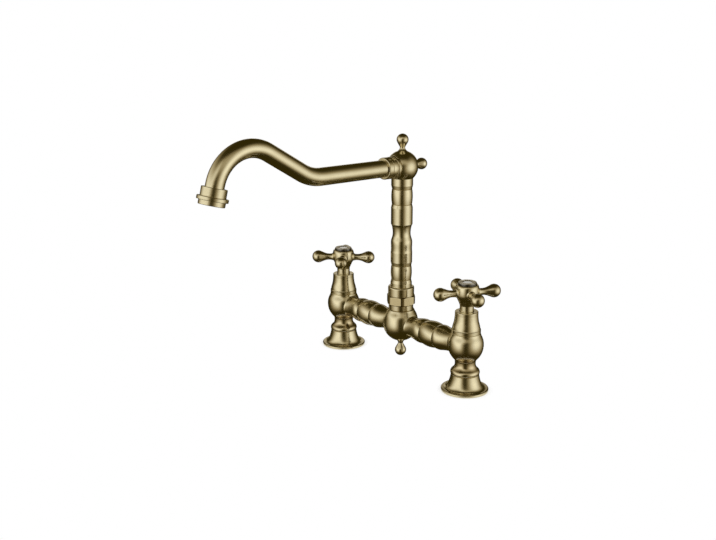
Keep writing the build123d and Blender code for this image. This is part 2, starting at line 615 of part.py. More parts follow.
def bonnet():
    """Turned dome over the valve body, screwed on its collar, open round the handle's skirt."""
    lip_top = PILLAR_TOP + BONNET_LIP_HEIGHT
    foot = (BONNET_LIP_RADIUS - BONNET_LIP_STEP, lip_top + EDGE_BREAK)
    shoulder = (BONNET_TOP_RADIUS, BONNET_TOP - BONNET_ROUND * 5)
    cavity = BONNET_OPENING_RADIUS + BONNET_CAVITY_STEP
    thread_foot = PILLAR_TOP + VALVE_HEX_HEIGHT + EDGE_BREAK
    thread_top = PILLAR_TOP + VALVE_HEX_HEIGHT + VALVE_COLLAR_HEIGHT
    bore = BONNET_THREAD_RADIUS + THREAD_FIT
    return turned(
        (BONNET_HEX_BORE, PILLAR_TOP),
        (BONNET_LIP_RADIUS - EDGE_BREAK, PILLAR_TOP),
        (BONNET_LIP_RADIUS, PILLAR_TOP + EDGE_BREAK),
        (BONNET_LIP_RADIUS, lip_top - EDGE_BREAK),
        (foot[0] + EDGE_BREAK / 2, lip_top),
        foot,
        along(foot, shoulder, (0.11, 0.14), (0.37, 0.31), (0.66, 0.5), (0.9, 0.78)),
        (BONNET_TOP_RADIUS, BONNET_TOP - BONNET_ROUND),
        [
            round_point((BONNET_TOP_RADIUS - BONNET_ROUND, BONNET_TOP - BONNET_ROUND), BONNET_ROUND, 45),
            (BONNET_TOP_RADIUS - BONNET_ROUND, BONNET_TOP),
        ],
        (BONNET_OPENING_RADIUS, BONNET_TOP),
        (BONNET_OPENING_RADIUS, BONNET_TOP - BONNET_TOP_THICKNESS),
        (cavity, BONNET_TOP - BONNET_TOP_THICKNESS),
        (cavity, thread_top),
        (bore, thread_top),
        (bore, thread_foot),
        (BONNET_HEX_BORE, thread_foot),
    )


def handle_arm():
    """One arm along Z, from inside the hub to the end of its ball."""
    ball = (0, ARM_BALL_REACH)
    root = (ARM_ROOT_RADIUS, HUB_RADIUS * 0.7)
    waist = (ARM_WAIST_RADIUS, ARM_WAIST_REACH)
    ball_foot = round_point(ball, ARM_BALL_RADIUS, -25)
    return turned(
        (0, root[1]),
        root,
        along(root, waist, (0.4, 0.3), (0.85, 0.65)) + along(waist, ball_foot, (0.15, 0.38), (0.62, 0.75)),
        [round_point(ball, ARM_BALL_RADIUS, 30), (0, ARM_BALL_REACH + ARM_BALL_RADIUS)],
    )


def cross_handle(angle):
    """One casting: skirt, flared hub and four arms, bored for spindle, screw and bezel."""
    belly = (HUB_RADIUS, HUB_TOP - HUB_BELLY_DROP)
    top = (HUB_TOP_RADIUS, HUB_TOP)
    skirt_top = (SKIRT_RADIUS, HUB_FOOT)
    hub = turned(
        (0, BONNET_TOP - SKIRT_OVERLAP),
        (SKIRT_RADIUS, BONNET_TOP - SKIRT_OVERLAP),
        skirt_top,
        along(skirt_top, belly, (0.19, 0.2), (0.45, 0.39), (0.72, 0.58), (0.91, 0.75))
        + along(belly, top, (0.12, 0.53), (0.47, 0.84)),
        (0, HUB_TOP),
    )
    arm = Pos(0, 0, HUB_TOP - ARM_DROP) * Rot(0, 90, 0) * handle_arm()
    arms = [Rot(0, 0, (count + 0.5) * 360 / ARM_COUNT) * arm for count in range(ARM_COUNT)]
    casting = blended(hub, arms, ARM_FILLET)
    spline_foot = SPINDLE_TOP - SPLINE_LENGTH
    bores = [
        rod(SKIRT_BORE_RADIUS, BONNET_TOP - SKIRT_OVERLAP, spline_foot),
        spline_bar(THREAD_FIT, spline_foot, SPINDLE_TOP),
        rod(SCREW_RADIUS + SCREW_HOLE_GAP, SPINDLE_TOP, SCREW_SEAT),
        rod(SCREW_HEAD_RADIUS + SCREW_HEAD_GAP, SCREW_SEAT, BEZEL_FLOOR),
        rod(BEZEL_PLUG_RADIUS, BEZEL_FLOOR, HUB_TOP),
    ]
    return Rot(0, 0, angle - 180 / ARM_COUNT) * casting - bores


def handle_screw():
    """Socket-head screw that draws the handle down on the spindle."""
    shank = rod(SCREW_RADIUS, SPINDLE_TOP - SCREW_LENGTH + EDGE_BREAK, SCREW_SEAT)
    head_top = SCREW_SEAT + SCREW_HEAD_HEIGHT
    head = rod(SCREW_HEAD_RADIUS, SCREW_SEAT, head_top)
    return shank + head - hexagon(SCREW_KEY_RADIUS, head_top - SCREW_KEY_DEPTH, head_top)


def index_bezel():
    """Rounded ring on top of the hub, with a plug below and a pocket for the index disc."""
    top = HUB_TOP + BEZEL_HEIGHT
    round_centre = (BEZEL_RADIUS - BEZEL_ROUND, top - BEZEL_ROUND)
    pocket = INDEX_RADIUS + THREAD_FIT
    return turned(
        (0, BEZEL_FLOOR),
        (BEZEL_PLUG_RADIUS - THREAD_FIT, BEZEL_FLOOR),
        (BEZEL_PLUG_RADIUS - THREAD_FIT, HUB_TOP),
        (BEZEL_RADIUS, HUB_TOP),
        (BEZEL_RADIUS, top - BEZEL_ROUND),
        [round_point(round_centre, BEZEL_ROUND, 45), (BEZEL_RADIUS - BEZEL_ROUND, top)],
        (pocket + EDGE_BREAK * 2, top),
        (pocket, top - EDGE_BREAK),
        (pocket, top - BEZEL_POCKET_DEPTH),
        (0, top - BEZEL_POCKET_DEPTH),
    )


def index_disc():
    """Plain enamel-white disc in the bezel's pocket."""
    low = HUB_TOP + BEZEL_HEIGHT - BEZEL_POCKET_DEPTH
    return rod(INDEX_RADIUS, low, low + INDEX_THICKNESS)


def arm_ring_places():
    """Distances from the faucet's middle of the rubber rings on an arm's two spigots."""
    return [CENTRE_REACH - SPIGOT_LENGTH / 2, PILLAR_JOINT + SPIGOT_LENGTH / 2]


def bridge_arm():
    """Beaded sleeve between the centre body and a pillar's boss, with a spigot into each."""
    middle = (CENTRE_REACH + PILLAR_JOINT) / 2
    sleeve = turned(
        (BRIDGE_BORE_RADIUS, CENTRE_REACH - SPIGOT_LENGTH),
        (SPIGOT_RADIUS, CENTRE_REACH - SPIGOT_LENGTH),
        (SPIGOT_RADIUS, CENTRE_REACH),
        (BRIDGE_JOINT_RADIUS - EDGE_BREAK, CENTRE_REACH),
        (BRIDGE_JOINT_RADIUS, CENTRE_REACH + EDGE_BREAK),
        [
            (BRIDGE_JOINT_RADIUS + ARM_BEAD_SWELL, middle),
            (BRIDGE_JOINT_RADIUS, PILLAR_JOINT - EDGE_BREAK),
        ],
        (BRIDGE_JOINT_RADIUS - EDGE_BREAK, PILLAR_JOINT),
        (SPIGOT_RADIUS, PILLAR_JOINT),
        (SPIGOT_RADIUS, PILLAR_JOINT + SPIGOT_LENGTH),
        (BRIDGE_BORE_RADIUS, PILLAR_JOINT + SPIGOT_LENGTH),
    )
    return sleeve - seal_grooves(SOCKET_RADIUS - SEAL_FIT, SPIGOT_RING_SECTION, arm_ring_places())


def arm_o_rings():
    """The rubber rings of one bridge arm."""
    return seal_rings(SOCKET_RADIUS - SEAL_FIT, SPIGOT_RING_SECTION, arm_ring_places())


def centre_body():
    """Cast sphere with two beaded side stubs, a neck and the bored stub of the swivel joint."""
    middle = (0, BRIDGE_HEIGHT)
    belly = (CENTRE_RADIUS, BRIDGE_HEIGHT)
    neck_radius = STUB_RADIUS + CENTRE_NECK_STEP
    neck_foot = NECK_TOP - CENTRE_SHOULDER_DROP
    shoulder = (neck_radius + CENTRE_SHOULDER_STEP, neck_foot)
    body = Rot(0, 0, 90) * turned(
        (0, BRIDGE_HEIGHT - CENTRE_FLAT),
        (FINIAL_FOOT_RADIUS, BRIDGE_HEIGHT - CENTRE_FLAT),
        [round_point(middle, CENTRE_RADIUS, degrees) for degrees in (-50, -25, 0)]
        + along(belly, shoulder, (0.14, 0.36), (0.48, 0.7), (0.82, 0.88)),
        (neck_radius, neck_foot + EDGE_BREAK * 2),
        (neck_radius, NECK_TOP - EDGE_BREAK),
        (neck_radius - EDGE_BREAK, NECK_TOP),
        (STUB_RADIUS, NECK_TOP),
        (STUB_RADIUS, STUB_TOP),
        (0, STUB_TOP),
    )
    root = (BRIDGE_WAIST_RADIUS + CENTRE_BEAD_SWELL, CENTRE_RADIUS * 0.6)
    waist = (BRIDGE_WAIST_RADIUS, CENTRE_REACH - CENTRE_WAIST_SETBACK)
    bead = (BRIDGE_JOINT_RADIUS + CENTRE_BEAD_SWELL, CENTRE_REACH - CENTRE_BEAD_SETBACK)
    side_stub = turned(
        (0, 0),
        (root[0], 0),
        root,
        [waist, *along(waist, bead, (0.6, 0.55)), (BRIDGE_JOINT_RADIUS, CENTRE_REACH)],
        (0, CENTRE_REACH),
    )
    socket = rod(SOCKET_RADIUS, CENTRE_REACH - SOCKET_LENGTH, CENTRE_REACH)
    waterway = rod(CENTRE_BORE_RADIUS, 0, CENTRE_REACH)
    bore_foot = STUB_TOP - COLUMN_FOOT_LENGTH - STUB_BORE_EXTRA
    bores = [
        rod(STUB_BORE_RADIUS, bore_foot, STUB_TOP),
        rod(CENTRE_BORE_RADIUS, BRIDGE_HEIGHT, bore_foot),
        Pos(0, 0, BRIDGE_HEIGHT - CENTRE_FLAT) * Rot(180, 0, 0) * finial_hole(),
    ]
    outward = [Plane((0, 0, BRIDGE_HEIGHT), z_dir=(direction, 0, 0)) for direction in (-1, 1)]
    for side in outward:
        bores += [side * socket, side * waterway]
    return blended(body, [side * side_stub for side in outward], CENTRE_FILLET) - bores


def swivel_nut():
    """Union nut over the stub: a round collar on a hexagon band with its corners turned down. Its
    lip holds the bush down on the column's flange."""
    corner = NUT_APOTHEM + NUT_CORNER_STEP
    collar = NUT_THREAD_RADIUS + NUT_COLLAR_WALL
    hex_top = NUT_FOOT + NUT_HEX_HEIGHT
    limit = turned(
        (0, NUT_FOOT),
        (NUT_APOTHEM - EDGE_BREAK, NUT_FOOT),
        (corner, NUT_FOOT + NUT_TAPER),
        (corner, hex_top - NUT_TAPER),
        (NUT_APOTHEM - EDGE_BREAK, hex_top),
        (0, hex_top),
    )
    top = turned(
        (0, NUT_FOOT + NUT_TAPER),
        (collar, NUT_FOOT + NUT_TAPER),
        (collar, NUT_TOP - NUT_ROUND),
        [
            round_point((collar - NUT_ROUND, NUT_TOP - NUT_ROUND), NUT_ROUND, 45),
            (collar - NUT_ROUND, NUT_TOP),
        ],
        (0, NUT_TOP),
    )
    prism = hexagon(NUT_APOTHEM, NUT_FOOT, NUT_TOP, NUT_ANGLE)
    bore = rod(NUT_THREAD_RADIUS, NUT_FOOT, LIP_FOOT) + rod(LIP_RADIUS, LIP_FOOT, NUT_TOP)
    return (prism & limit) + top - bore


def swivel_bush():
    """Plain bearing ring between the column's flange and the nut's lip."""
    return ring(STUB_RADIUS, LIP_RADIUS, BUSH_FOOT, LIP_FOOT)


def column_ring_heights():
    """Middle heights of the two rubber rings on the column's foot."""
    foot = STUB_TOP - COLUMN_FOOT_LENGTH
    middle = foot + COLUMN_FOOT_LENGTH / 2
    return [middle - COLUMN_RING_SPACING / 2, middle + COLUMN_RING_SPACING / 2]


def notch(height):
    """The three points of a turned notch, which reads as a dark line round the column."""
    radius = COLUMN_RADIUS - COLUMN_GROOVE_DEPTH
    return [(radius, height - NOTCH), (radius - NOTCH, height), (radius, height + NOTCH)]


def riser_column():
    """Hollow turned column: sealed foot, retaining flange, beads, waist, and the head's stub."""
    foot = STUB_TOP - COLUMN_FOOT_LENGTH
    first, second, third, fourth = [notch(height) for height in COLUMN_GROOVES]
    bead_radius = COLUMN_RADIUS - COLUMN_BEAD_DROP
    taper_end = (COLUMN_RADIUS, COLUMN_GROOVES[1] + COLUMN_TAPER)
    barrel_end = (COLUMN_RADIUS, COLUMN_GROOVES[1] + COLUMN_MIDDLE * 0.22)
    waist = (COLUMN_RADIUS - COLUMN_WAIST_DEPTH, COLUMN_GROOVES[1] + COLUMN_MIDDLE * 0.53)
    upper_start = (COLUMN_RADIUS, COLUMN_GROOVES[1] + COLUMN_MIDDLE * 0.68)
    body = turned(
        (COLUMN_BORE_RADIUS, foot),
        (COLUMN_FOOT_RADIUS, foot),
        (COLUMN_FOOT_RADIUS, RETAINER_FOOT),
        (STUB_RADIUS - RETAINER_GAP, RETAINER_FOOT),
        (STUB_RADIUS - RETAINER_GAP, RETAINER_TOP),
        (COLUMN_RADIUS, RETAINER_TOP),
        (COLUMN_RADIUS, COLUMN_GROOVES[0] - COLUMN_TAPER),
        first[0],
        first[1],
        first[2],
        [(bead_radius, COLUMN_GROOVES[0] + COLUMN_LOWER_BEAD / 2), second[0]],
        second[1],
        second[2],
        taper_end,
        barrel_end,
        along(barrel_end, waist, (0.06, 0.42), (0.22, 0.64), (0.68, 0.78))
        + along(waist, upper_start, (0.15, 0.4), (0.5, 0.75)),
        (COLUMN_RADIUS, COLUMN_GROOVES[2] - COLUMN_TAPER),
        third[0],
        third[1],
        third[2],
        [(bead_radius, COLUMN_GROOVES[2] + COLUMN_UPPER_BEAD / 2), fourth[0]],
        fourth[1],
        fourth[2],
        (COLUMN_RADIUS, COLUMN_GROOVES[3] + COLUMN_TAPER),
        (COLUMN_RADIUS, COLUMN_TOP),
        (HEAD_STUB_RADIUS, COLUMN_TOP),
        (HEAD_STUB_RADIUS, HEAD_STUB_TOP),
        (COLUMN_BORE_RADIUS, HEAD_STUB_TOP),
    )
    return body - seal_grooves(STUB_BORE_RADIUS - SEAL_FIT, COLUMN_RING_SECTION, column_ring_heights())


def column_o_rings():
    """The two rubber rings that seal the column in the centre body."""
    return seal_rings(STUB_BORE_RADIUS - SEAL_FIT, COLUMN_RING_SECTION, column_ring_heights())


def head_washer():
    """Flat washer between the column's stub and the head."""
    return ring(HEAD_STUB_RADIUS, HEAD_STUB_RADIUS - HEAD_WASHER_WIDTH, HEAD_STUB_TOP, HEAD_SOCKET_TOP)


def spout_head():
    """Ball head: flats below, on top, behind and in front, bored from the column to the spout."""
    span = HEAD_RADIUS * 4
    far = Pos(0, 0, HEAD_RADIUS * 2) * Box(span, span, HEAD_RADIUS * 2)
    top_flat = Pos(0, 0, HEAD_FLAT - HEAD_RADIUS) * far
    bottom_flat = Rot(180, 0, 0) * Pos(0, 0, SPOUT_HEIGHT - COLUMN_TOP - HEAD_RADIUS) * far
    rear_flat = Rot(-90, 0, 0) * top_flat
    front_flat = SPOUT_AXIS * Pos(0, 0, HEAD_FRONT_REACH - HEAD_RADIUS) * far
    rear_hole = Rot(-90, 0, 0) * Pos(0, 0, HEAD_FLAT) * finial_hole()
    top_hole = Pos(0, 0, HEAD_FLAT) * finial_hole()
    ball = UPRIGHT_HEAD * (Sphere(HEAD_RADIUS) - [top_flat, bottom_flat, rear_flat, top_hole, rear_hole])
    bores = [
        front_flat,
        rod(HEAD_SOCKET_RADIUS, COLUMN_TOP, HEAD_SOCKET_TOP),
        rod(HEAD_BORE_RADIUS, HEAD_SOCKET_TOP, SPOUT_HEIGHT + HEAD_BORE_RADIUS),
        SPOUT_AXIS * rod(HEAD_BORE_RADIUS, 0, HEAD_FRONT_REACH),
        SPOUT_AXIS * rod(COLLAR_SPIGOT_RADIUS + PRESS_FIT, COLLAR_FOOT, HEAD_FRONT_REACH),
    ]
    return ball - bores


def spout_collar():
    """Three turned rings in one piece, with a spigot into the head and a socket for the tube."""
    middle_foot = HEAD_FRONT_REACH + COLLAR_REAR_RING
    front_foot = middle_foot + COLLAR_MIDDLE_RING
    valley = COLLAR_RADIUS - COLLAR_GROOVE_DEPTH
    corner = (COLLAR_RADIUS - COLLAR_ROUND, COLLAR_END - COLLAR_ROUND)
    collar = turned(
        (HEAD_BORE_RADIUS, COLLAR_FOOT),
        (COLLAR_SPIGOT_RADIUS, COLLAR_FOOT),
        (COLLAR_SPIGOT_RADIUS, HEAD_FRONT_REACH),
        (COLLAR_RADIUS, HEAD_FRONT_REACH),
        [
            (COLLAR_RADIUS + COLLAR_RING_SWELL, HEAD_FRONT_REACH + COLLAR_REAR_RING / 2),
            (COLLAR_RADIUS, middle_foot - NOTCH),
        ],
        (valley, middle_foot),
        (COLLAR_RADIUS - NOTCH / 2, middle_foot + NOTCH),
        [
            (COLLAR_RADIUS + NOTCH / 4, middle_foot + COLLAR_MIDDLE_RING / 2),
            (COLLAR_RADIUS - NOTCH / 2, front_foot - NOTCH),
        ],
        (valley, front_foot),
        (COLLAR_RADIUS, front_foot + NOTCH),
        (COLLAR_RADIUS, corner[1]),
        [round_point(corner, COLLAR_ROUND, 45), (corner[0], COLLAR_END)],
        (TUBE_SOCKET_RADIUS, COLLAR_END),
        (TUBE_SOCKET_RADIUS, TUBE_START),
        (HEAD_BORE_RADIUS, TUBE_START),
    )
    return SPOUT_AXIS * collar


def spout_path():
    """Centre line of the tube seen from the side, forward along X: run, bend, climb, arch, drop."""
    forward = Vector(cos(radians(SPOUT_TILT)), sin(radians(SPOUT_TILT)))
    run = Line(forward * TUBE_START, forward * SPOUT_RUN)
    bend = JernArc(run @ 1, run % 1, SPOUT_BEND_RADIUS, SPOUT_CLIMB_ANGLE - SPOUT_TILT)
    climb = Line(bend @ 1, bend @ 1 + (bend % 1) * SPOUT_CLIMB_RUN)
    turn_down = SPOUT_CLIMB_ANGLE + 90 - NOZZLE_TILT
    arch = JernArc(climb @ 1, climb % 1, SPOUT_ARCH_RADIUS, -turn_down)
    drop = Line(arch @ 1, arch @ 1 + (arch % 1) * (SPOUT_DROP + NOZZLE_SOCKET))
    return run, bend, climb, arch, drop


def spout_tube():
    """Bent tube of one bore from the collar's socket to the nozzle's socket."""
    path = SPOUT_SIDE * Curve(list(spout_path()))
    section = Circle(TUBE_RADIUS) - Circle(TUBE_BORE_RADIUS)
    start = Plane(origin=path @ 0, z_dir=path % 0)
    return sweep(start * section, path)


def nozzle_plane():
    """Plane at the nozzle's upper end, its normal along the stream of water."""
    drop = SPOUT_SIDE * spout_path()[-1]
    return Plane(origin=drop @ 1 - (drop % 1) * NOZZLE_SOCKET, x_dir=(1, 0, 0), z_dir=drop % 1)


def nozzle_collar():
    """Sleeve on the tube's end with a flange ring, threaded inside for the aerator housing."""
    thread = HOUSING_THREAD_RADIUS + THREAD_FIT
    ring_radius = NOZZLE_RADIUS + NOZZLE_RING_STEP
    return turned(
        (TUBE_SOCKET_RADIUS, 0),
        (NOZZLE_RADIUS - EDGE_BREAK, 0),
        (NOZZLE_RADIUS, EDGE_BREAK),
        (NOZZLE_RADIUS, NOZZLE_COLLAR_LENGTH),
        (ring_radius - EDGE_BREAK, NOZZLE_COLLAR_LENGTH),
        (ring_radius, NOZZLE_COLLAR_LENGTH + EDGE_BREAK),
        (ring_radius, NOZZLE_RING_END - EDGE_BREAK),
        (ring_radius - EDGE_BREAK, NOZZLE_RING_END),
        (thread, NOZZLE_RING_END),
        (thread, NOZZLE_SEAT),
        (TUBE_SOCKET_RADIUS - NOZZLE_SEAT_WIDTH, NOZZLE_SEAT),
        (TUBE_SOCKET_RADIUS - NOZZLE_SEAT_WIDTH, NOZZLE_SOCKET),
        (TUBE_SOCKET_RADIUS, NOZZLE_SOCKET),
    )


def aerator_housing():
    """Screwed-in housing that shows below the flange ring and holds the aerator."""
    radius = HOUSING_THREAD_RADIUS + HOUSING_STEP
    return turned(
        (HOUSING_BORE_RADIUS, HOUSING_FOOT),
        (HOUSING_THREAD_RADIUS, HOUSING_FOOT),
        (HOUSING_THREAD_RADIUS, NOZZLE_RING_END),
        (radius, NOZZLE_RING_END),
        (radius, HOUSING_END - EDGE_BREAK),
        (radius - EDGE_BREAK, HOUSING_END),
        (HOUSING_BORE_RADIUS - HOUSING_LIP, HOUSING_END),
        (HOUSING_BORE_RADIUS - HOUSING_LIP, HOUSING_END - HOUSING_LIP),
        (HOUSING_BORE_RADIUS, HOUSING_END - HOUSING_LIP),
    )


def aerator_washer():
    """Flat washer between the nozzle collar's seat and the housing."""
    inner = TUBE_SOCKET_RADIUS - NOZZLE_SEAT_WIDTH
    return ring(HOUSING_THREAD_RADIUS, inner, NOZZLE_SEAT, HOUSING_FOOT)


def perforated(low, high):
    """A disc of the aerator's size with two circles of holes and one in the middle."""
    hole = rod(AERATOR_HOLE_RADIUS, low, high)
    holes = [hole]
    for circle in (1, 2):
        distance = circle * AERATOR_RADIUS * 0.36
        for count in range(AERATOR_HOLE_COUNT * circle):
            turn = count * 360 / (AERATOR_HOLE_COUNT * circle)
            holes.append(Rot(0, 0, turn) * Pos(distance, 0, 0) * hole)
    return rod(AERATOR_RADIUS, low, high) - holes


def aerator_screen():
    """Thin sieve on top of the insert."""
    return perforated(HOUSING_FOOT, HOUSING_FOOT + AERATOR_SCREEN_THICKNESS)


def aerator_insert():
    """Plastic insert between the sieve and the housing's lip."""
    return perforated(HOUSING_FOOT + AERATOR_SCREEN_THICKNESS, HOUSING_END - HOUSING_LIP)


def write(name, shape):
    """Write one piece to its own file."""
    export_step(shape, f"parts/{name}.step")


def write_side(side, place, handle_angle):
    """Write the pieces of one pillar, valve and handle."""
    pieces = {
        "base_flange": base_flange(),
        "deck_seal": deck_seal(),
        "pillar_body": pillar_body(),
        "valve_washer": valve_washer(),
        "valve_body": valve_body(),
        "seat_seal": seat_seal(),
        "fixed_disc": fixed_disc(),
        "moving_disc": moving_disc(),
        "spindle": spindle(),
        "spindle_o_rings": spindle_o_rings(),
        "spindle_clip": spindle_clip(),
        "bonnet": bonnet(),
        "cross_handle": cross_handle(handle_angle),
        "handle_screw": handle_screw(),
        "index_bezel": index_bezel(),
        "index_disc": index_disc(),
    }
    for name, shape in pieces.items():
        write(f"{name}_{side}", place * shape)


def write_bridge():
    """Write the pieces between the pillars and the swivel joint's fixed half."""
    for side, direction in (("left", -1), ("right", 1)):
        outward = Plane((0, 0, BRIDGE_HEIGHT), z_dir=(direction, 0, 0))
        write(f"bridge_arm_{side}", outward * bridge_arm())
        write(f"arm_o_rings_{side}", outward * arm_o_rings())
    write("centre_body", centre_body())
    write("bottom_finial", Pos(0, 0, BRIDGE_HEIGHT - CENTRE_FLAT) * Rot(180, 0, 0) * finial())
    write("swivel_nut", swivel_nut())
    write("swivel_bush", swivel_bush())


def write_spout():
    """Write everything that swivels with the riser column."""
    write("riser_column", riser_column())
    write("column_o_rings", column_o_rings())
    write("head_washer", head_washer())
    write("spout_head", spout_head())
    write("top_finial", UPRIGHT_HEAD * Pos(0, 0, HEAD_FLAT) * finial())
    write("rear_finial", UPRIGHT_HEAD * Rot(-90, 0, 0) * Pos(0, 0, HEAD_FLAT) * finial())
    write("spout_collar", spout_collar())
    write("spout_tube", spout_tube())
    nozzle = nozzle_plane()
    write("nozzle_collar", nozzle * nozzle_collar())
    write("aerator_housing", nozzle * aerator_housing())
    write("aerator_washer", nozzle * aerator_washer())
    write("aerator_screen", nozzle * aerator_screen())
    write("aerator_insert", nozzle * aerator_insert())


write_side("left", Pos(-HALF_SPACING, 0, 0), LEFT_HANDLE_ANGLE)
write_side("right", Pos(HALF_SPACING, 0, 0) * Rot(0, 0, 180), RIGHT_HANDLE_ANGLE)
write_bridge()
write_spout()
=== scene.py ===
"""Bridge kitchen faucet in aged brass: finishes, small fittings and a studio for the solids."""

import json
import math

import bpy
from mathutils import Matrix, Vector

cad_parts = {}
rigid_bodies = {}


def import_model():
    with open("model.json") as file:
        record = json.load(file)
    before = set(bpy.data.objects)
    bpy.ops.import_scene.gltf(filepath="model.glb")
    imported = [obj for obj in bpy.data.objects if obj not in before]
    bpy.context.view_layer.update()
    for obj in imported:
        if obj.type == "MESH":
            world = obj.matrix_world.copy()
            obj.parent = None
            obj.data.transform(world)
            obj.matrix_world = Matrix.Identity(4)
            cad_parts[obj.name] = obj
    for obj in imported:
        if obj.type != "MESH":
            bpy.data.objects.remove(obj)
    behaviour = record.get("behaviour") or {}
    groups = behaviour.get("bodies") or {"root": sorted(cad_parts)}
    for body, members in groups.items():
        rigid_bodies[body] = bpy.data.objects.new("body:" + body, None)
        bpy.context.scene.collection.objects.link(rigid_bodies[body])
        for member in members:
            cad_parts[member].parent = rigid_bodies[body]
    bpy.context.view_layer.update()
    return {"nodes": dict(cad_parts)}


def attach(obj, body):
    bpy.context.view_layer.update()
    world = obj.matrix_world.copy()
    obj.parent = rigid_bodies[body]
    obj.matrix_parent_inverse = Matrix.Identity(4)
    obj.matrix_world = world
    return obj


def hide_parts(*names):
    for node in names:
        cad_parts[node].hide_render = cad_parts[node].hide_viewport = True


for leftover in list(bpy.data.objects):
    bpy.data.objects.remove(leftover)
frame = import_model()

bl_info = {
    "name": "Bridge kitchen faucet",
    "version": (1, 0, 0),
    "blender": (4, 5, 0),
    "location": "View3D > Sidebar > Faucet",
    "description": "Finishes, small fittings and studio of a bridge kitchen faucet",
    "category": "Object",
}

# Places on the faucet, in metres
SIDES = ("left", "right")
PILLAR_X = {"left": -0.1, "right": 0.1}
MIDDLE = (0.0, 0.0, 0.0)
BRIDGE_MIDDLE = (0.0, 0.0, 0.0502)
UPRIGHT = (0.0, 0.0, 1.0)

# Brushed lines per metre along X, Y and Z: few along a line and many across it
EVEN = (1.0, 1.0, 1.0)
TURNED_UPRIGHT = (60.0, 60.0, 2400.0)
TURNED_ACROSS = (2400.0, 60.0, 60.0)
TURNED_FORWARD = (60.0, 2400.0, 60.0)
DRAWN_SPOUT = (2400.0, 45.0, 45.0)
CAST_HANDLE = (110.0, 110.0, 1300.0)
NOZZLE_TILT = (math.radians(-15.0), 0.0, 0.0)

# Aged brass: detail of its patterns, and how much they add to its patina and roughness; the recess
# values also set the painted shade that ambient occlusion puts in grooves
LINE_DETAIL = 5.0
CLOUD_DETAIL = 4.0
MEAN_PATINA = 0.3
LINE_ROUGHNESS = 0.16
CLOUD_ROUGHNESS = 0.10
RECESS_ROUGHNESS = 0.15
RECESS_SAMPLES = 8
RECESS_CLOSED = 0.35
RECESS_OPEN = 0.95
LACQUER_ROUGHNESS = 0.12

# Plain finishes: their grain, and the colours of what is hidden inside the faucet
GRAIN_DETAIL = 3.0
GRAIN_LOW = 0.25
GRAIN_HIGH = 0.75
GRAIN_DARKNESS = 0.86
GRAIN_ROUGHNESS = 0.08
RELIEF = 0.0001
BRASS = (0.78, 0.60, 0.30, 1.0)
STEEL = (0.60, 0.60, 0.59, 1.0)
RUBBER = (0.035, 0.035, 0.035, 1.0)
CERAMIC = (0.88, 0.88, 0.86, 1.0)
PLASTIC = (0.80, 0.80, 0.77, 1.0)
WHITE = (1.0, 1.0, 1.0, 1.0)

# Turned pieces: steps round the axis, the plane that becomes the first point, the gap that is
# closed and the angle from which an edge is sharp
LATHE_STEPS = 128
START_SIZE = 0.001
MERGE_GAP = 1e-6
SHARP_ANGLE = math.radians(35.0)

# Bezel profile: heights and widths, in groove widths
SKIRT_TOP = 3.0
STEP_FOOT = 3.4
STEP_TOP = 4.4
SHOULDER_INSET = 2.4
SHOULDER_ACROSS = 1.2
SHOULDER_HEIGHT = 2.0
RIM_WIDTH = 2.0
RING_DEPTH = 0.4
# Painted shade on the bezel's sides: full from this many groove widths under the top
PAINTED_SHADE_DEPTH = 2.0

# Bezel profile: points on the round of the shoulder, degrees from one to the next, and how many
# rings are cut in the top and where, as shares of a ring's width
SHOULDER_POINTS = 5
SHOULDER_TURN = 18.0
RINGS = 4
RING_EDGE = 0.50
RING_FLOOR = 0.62
RING_BACK = 0.88

# Button profile: its depth under the bezel's top, its edge as a share of the crown, the points on
# its dome, and degrees from one to the next
BUTTON_SINK = 0.0001
BUTTON_EDGE = 0.5
DOME_POINTS = 12
DOME_TURN = 7.5

# Stage: the sensor in millimetres, lengths in metres, and how finely the forms are divided
SENSOR_WIDTH = 36.0
CLIP_START = 0.05
FLOOR_RADIUS = 6.0
FLOOR_SIDES = 96
TENT_RADIUS = 1.6
TENT_MIDDLE = 0.12
TENT_SEGMENTS = 120
TENT_RINGS = 60

# Light tent: the angle over which the front field stays full, the top of the rear field as a
# multiple of its peak, and the share of the light from which the fields have their own colour
FRONT_HOLD = 0.17
REAR_TOP = 2.0
EDGE_END = 0.8


class Wire:
    """An output of a shader node, which takes part in sums as a number does."""

    def __init__(self, paint, socket):
        self.paint = paint
        self.socket = socket

    def maths(self, operation, *terms):
        """Add a Math node on wires and numbers."""
        return self.paint.node("Math", {"operation": operation}, dict(enumerate(terms)))

    def __add__(self, other):
        return self.maths("ADD", self, other)

    def __sub__(self, other):
        return self.maths("SUBTRACT", self, other)

    def __mul__(self, other):
        return self.maths("MULTIPLY", self, other)

    def __radd__(self, other):
        return self.maths("ADD", other, self)

    def __rsub__(self, other):
        return self.maths("SUBTRACT", other, self)

    def __rmul__(self, other):
        return self.maths("MULTIPLY", other, self)

    def between(self, low, high):
        """0 below low, 1 above high, with a soft step between them."""
        levels = {"Value": self, "From Min": low, "From Max": high}
        return self.paint.node("MapRange", {"interpolation_type": "SMOOTHSTEP"}, levels)


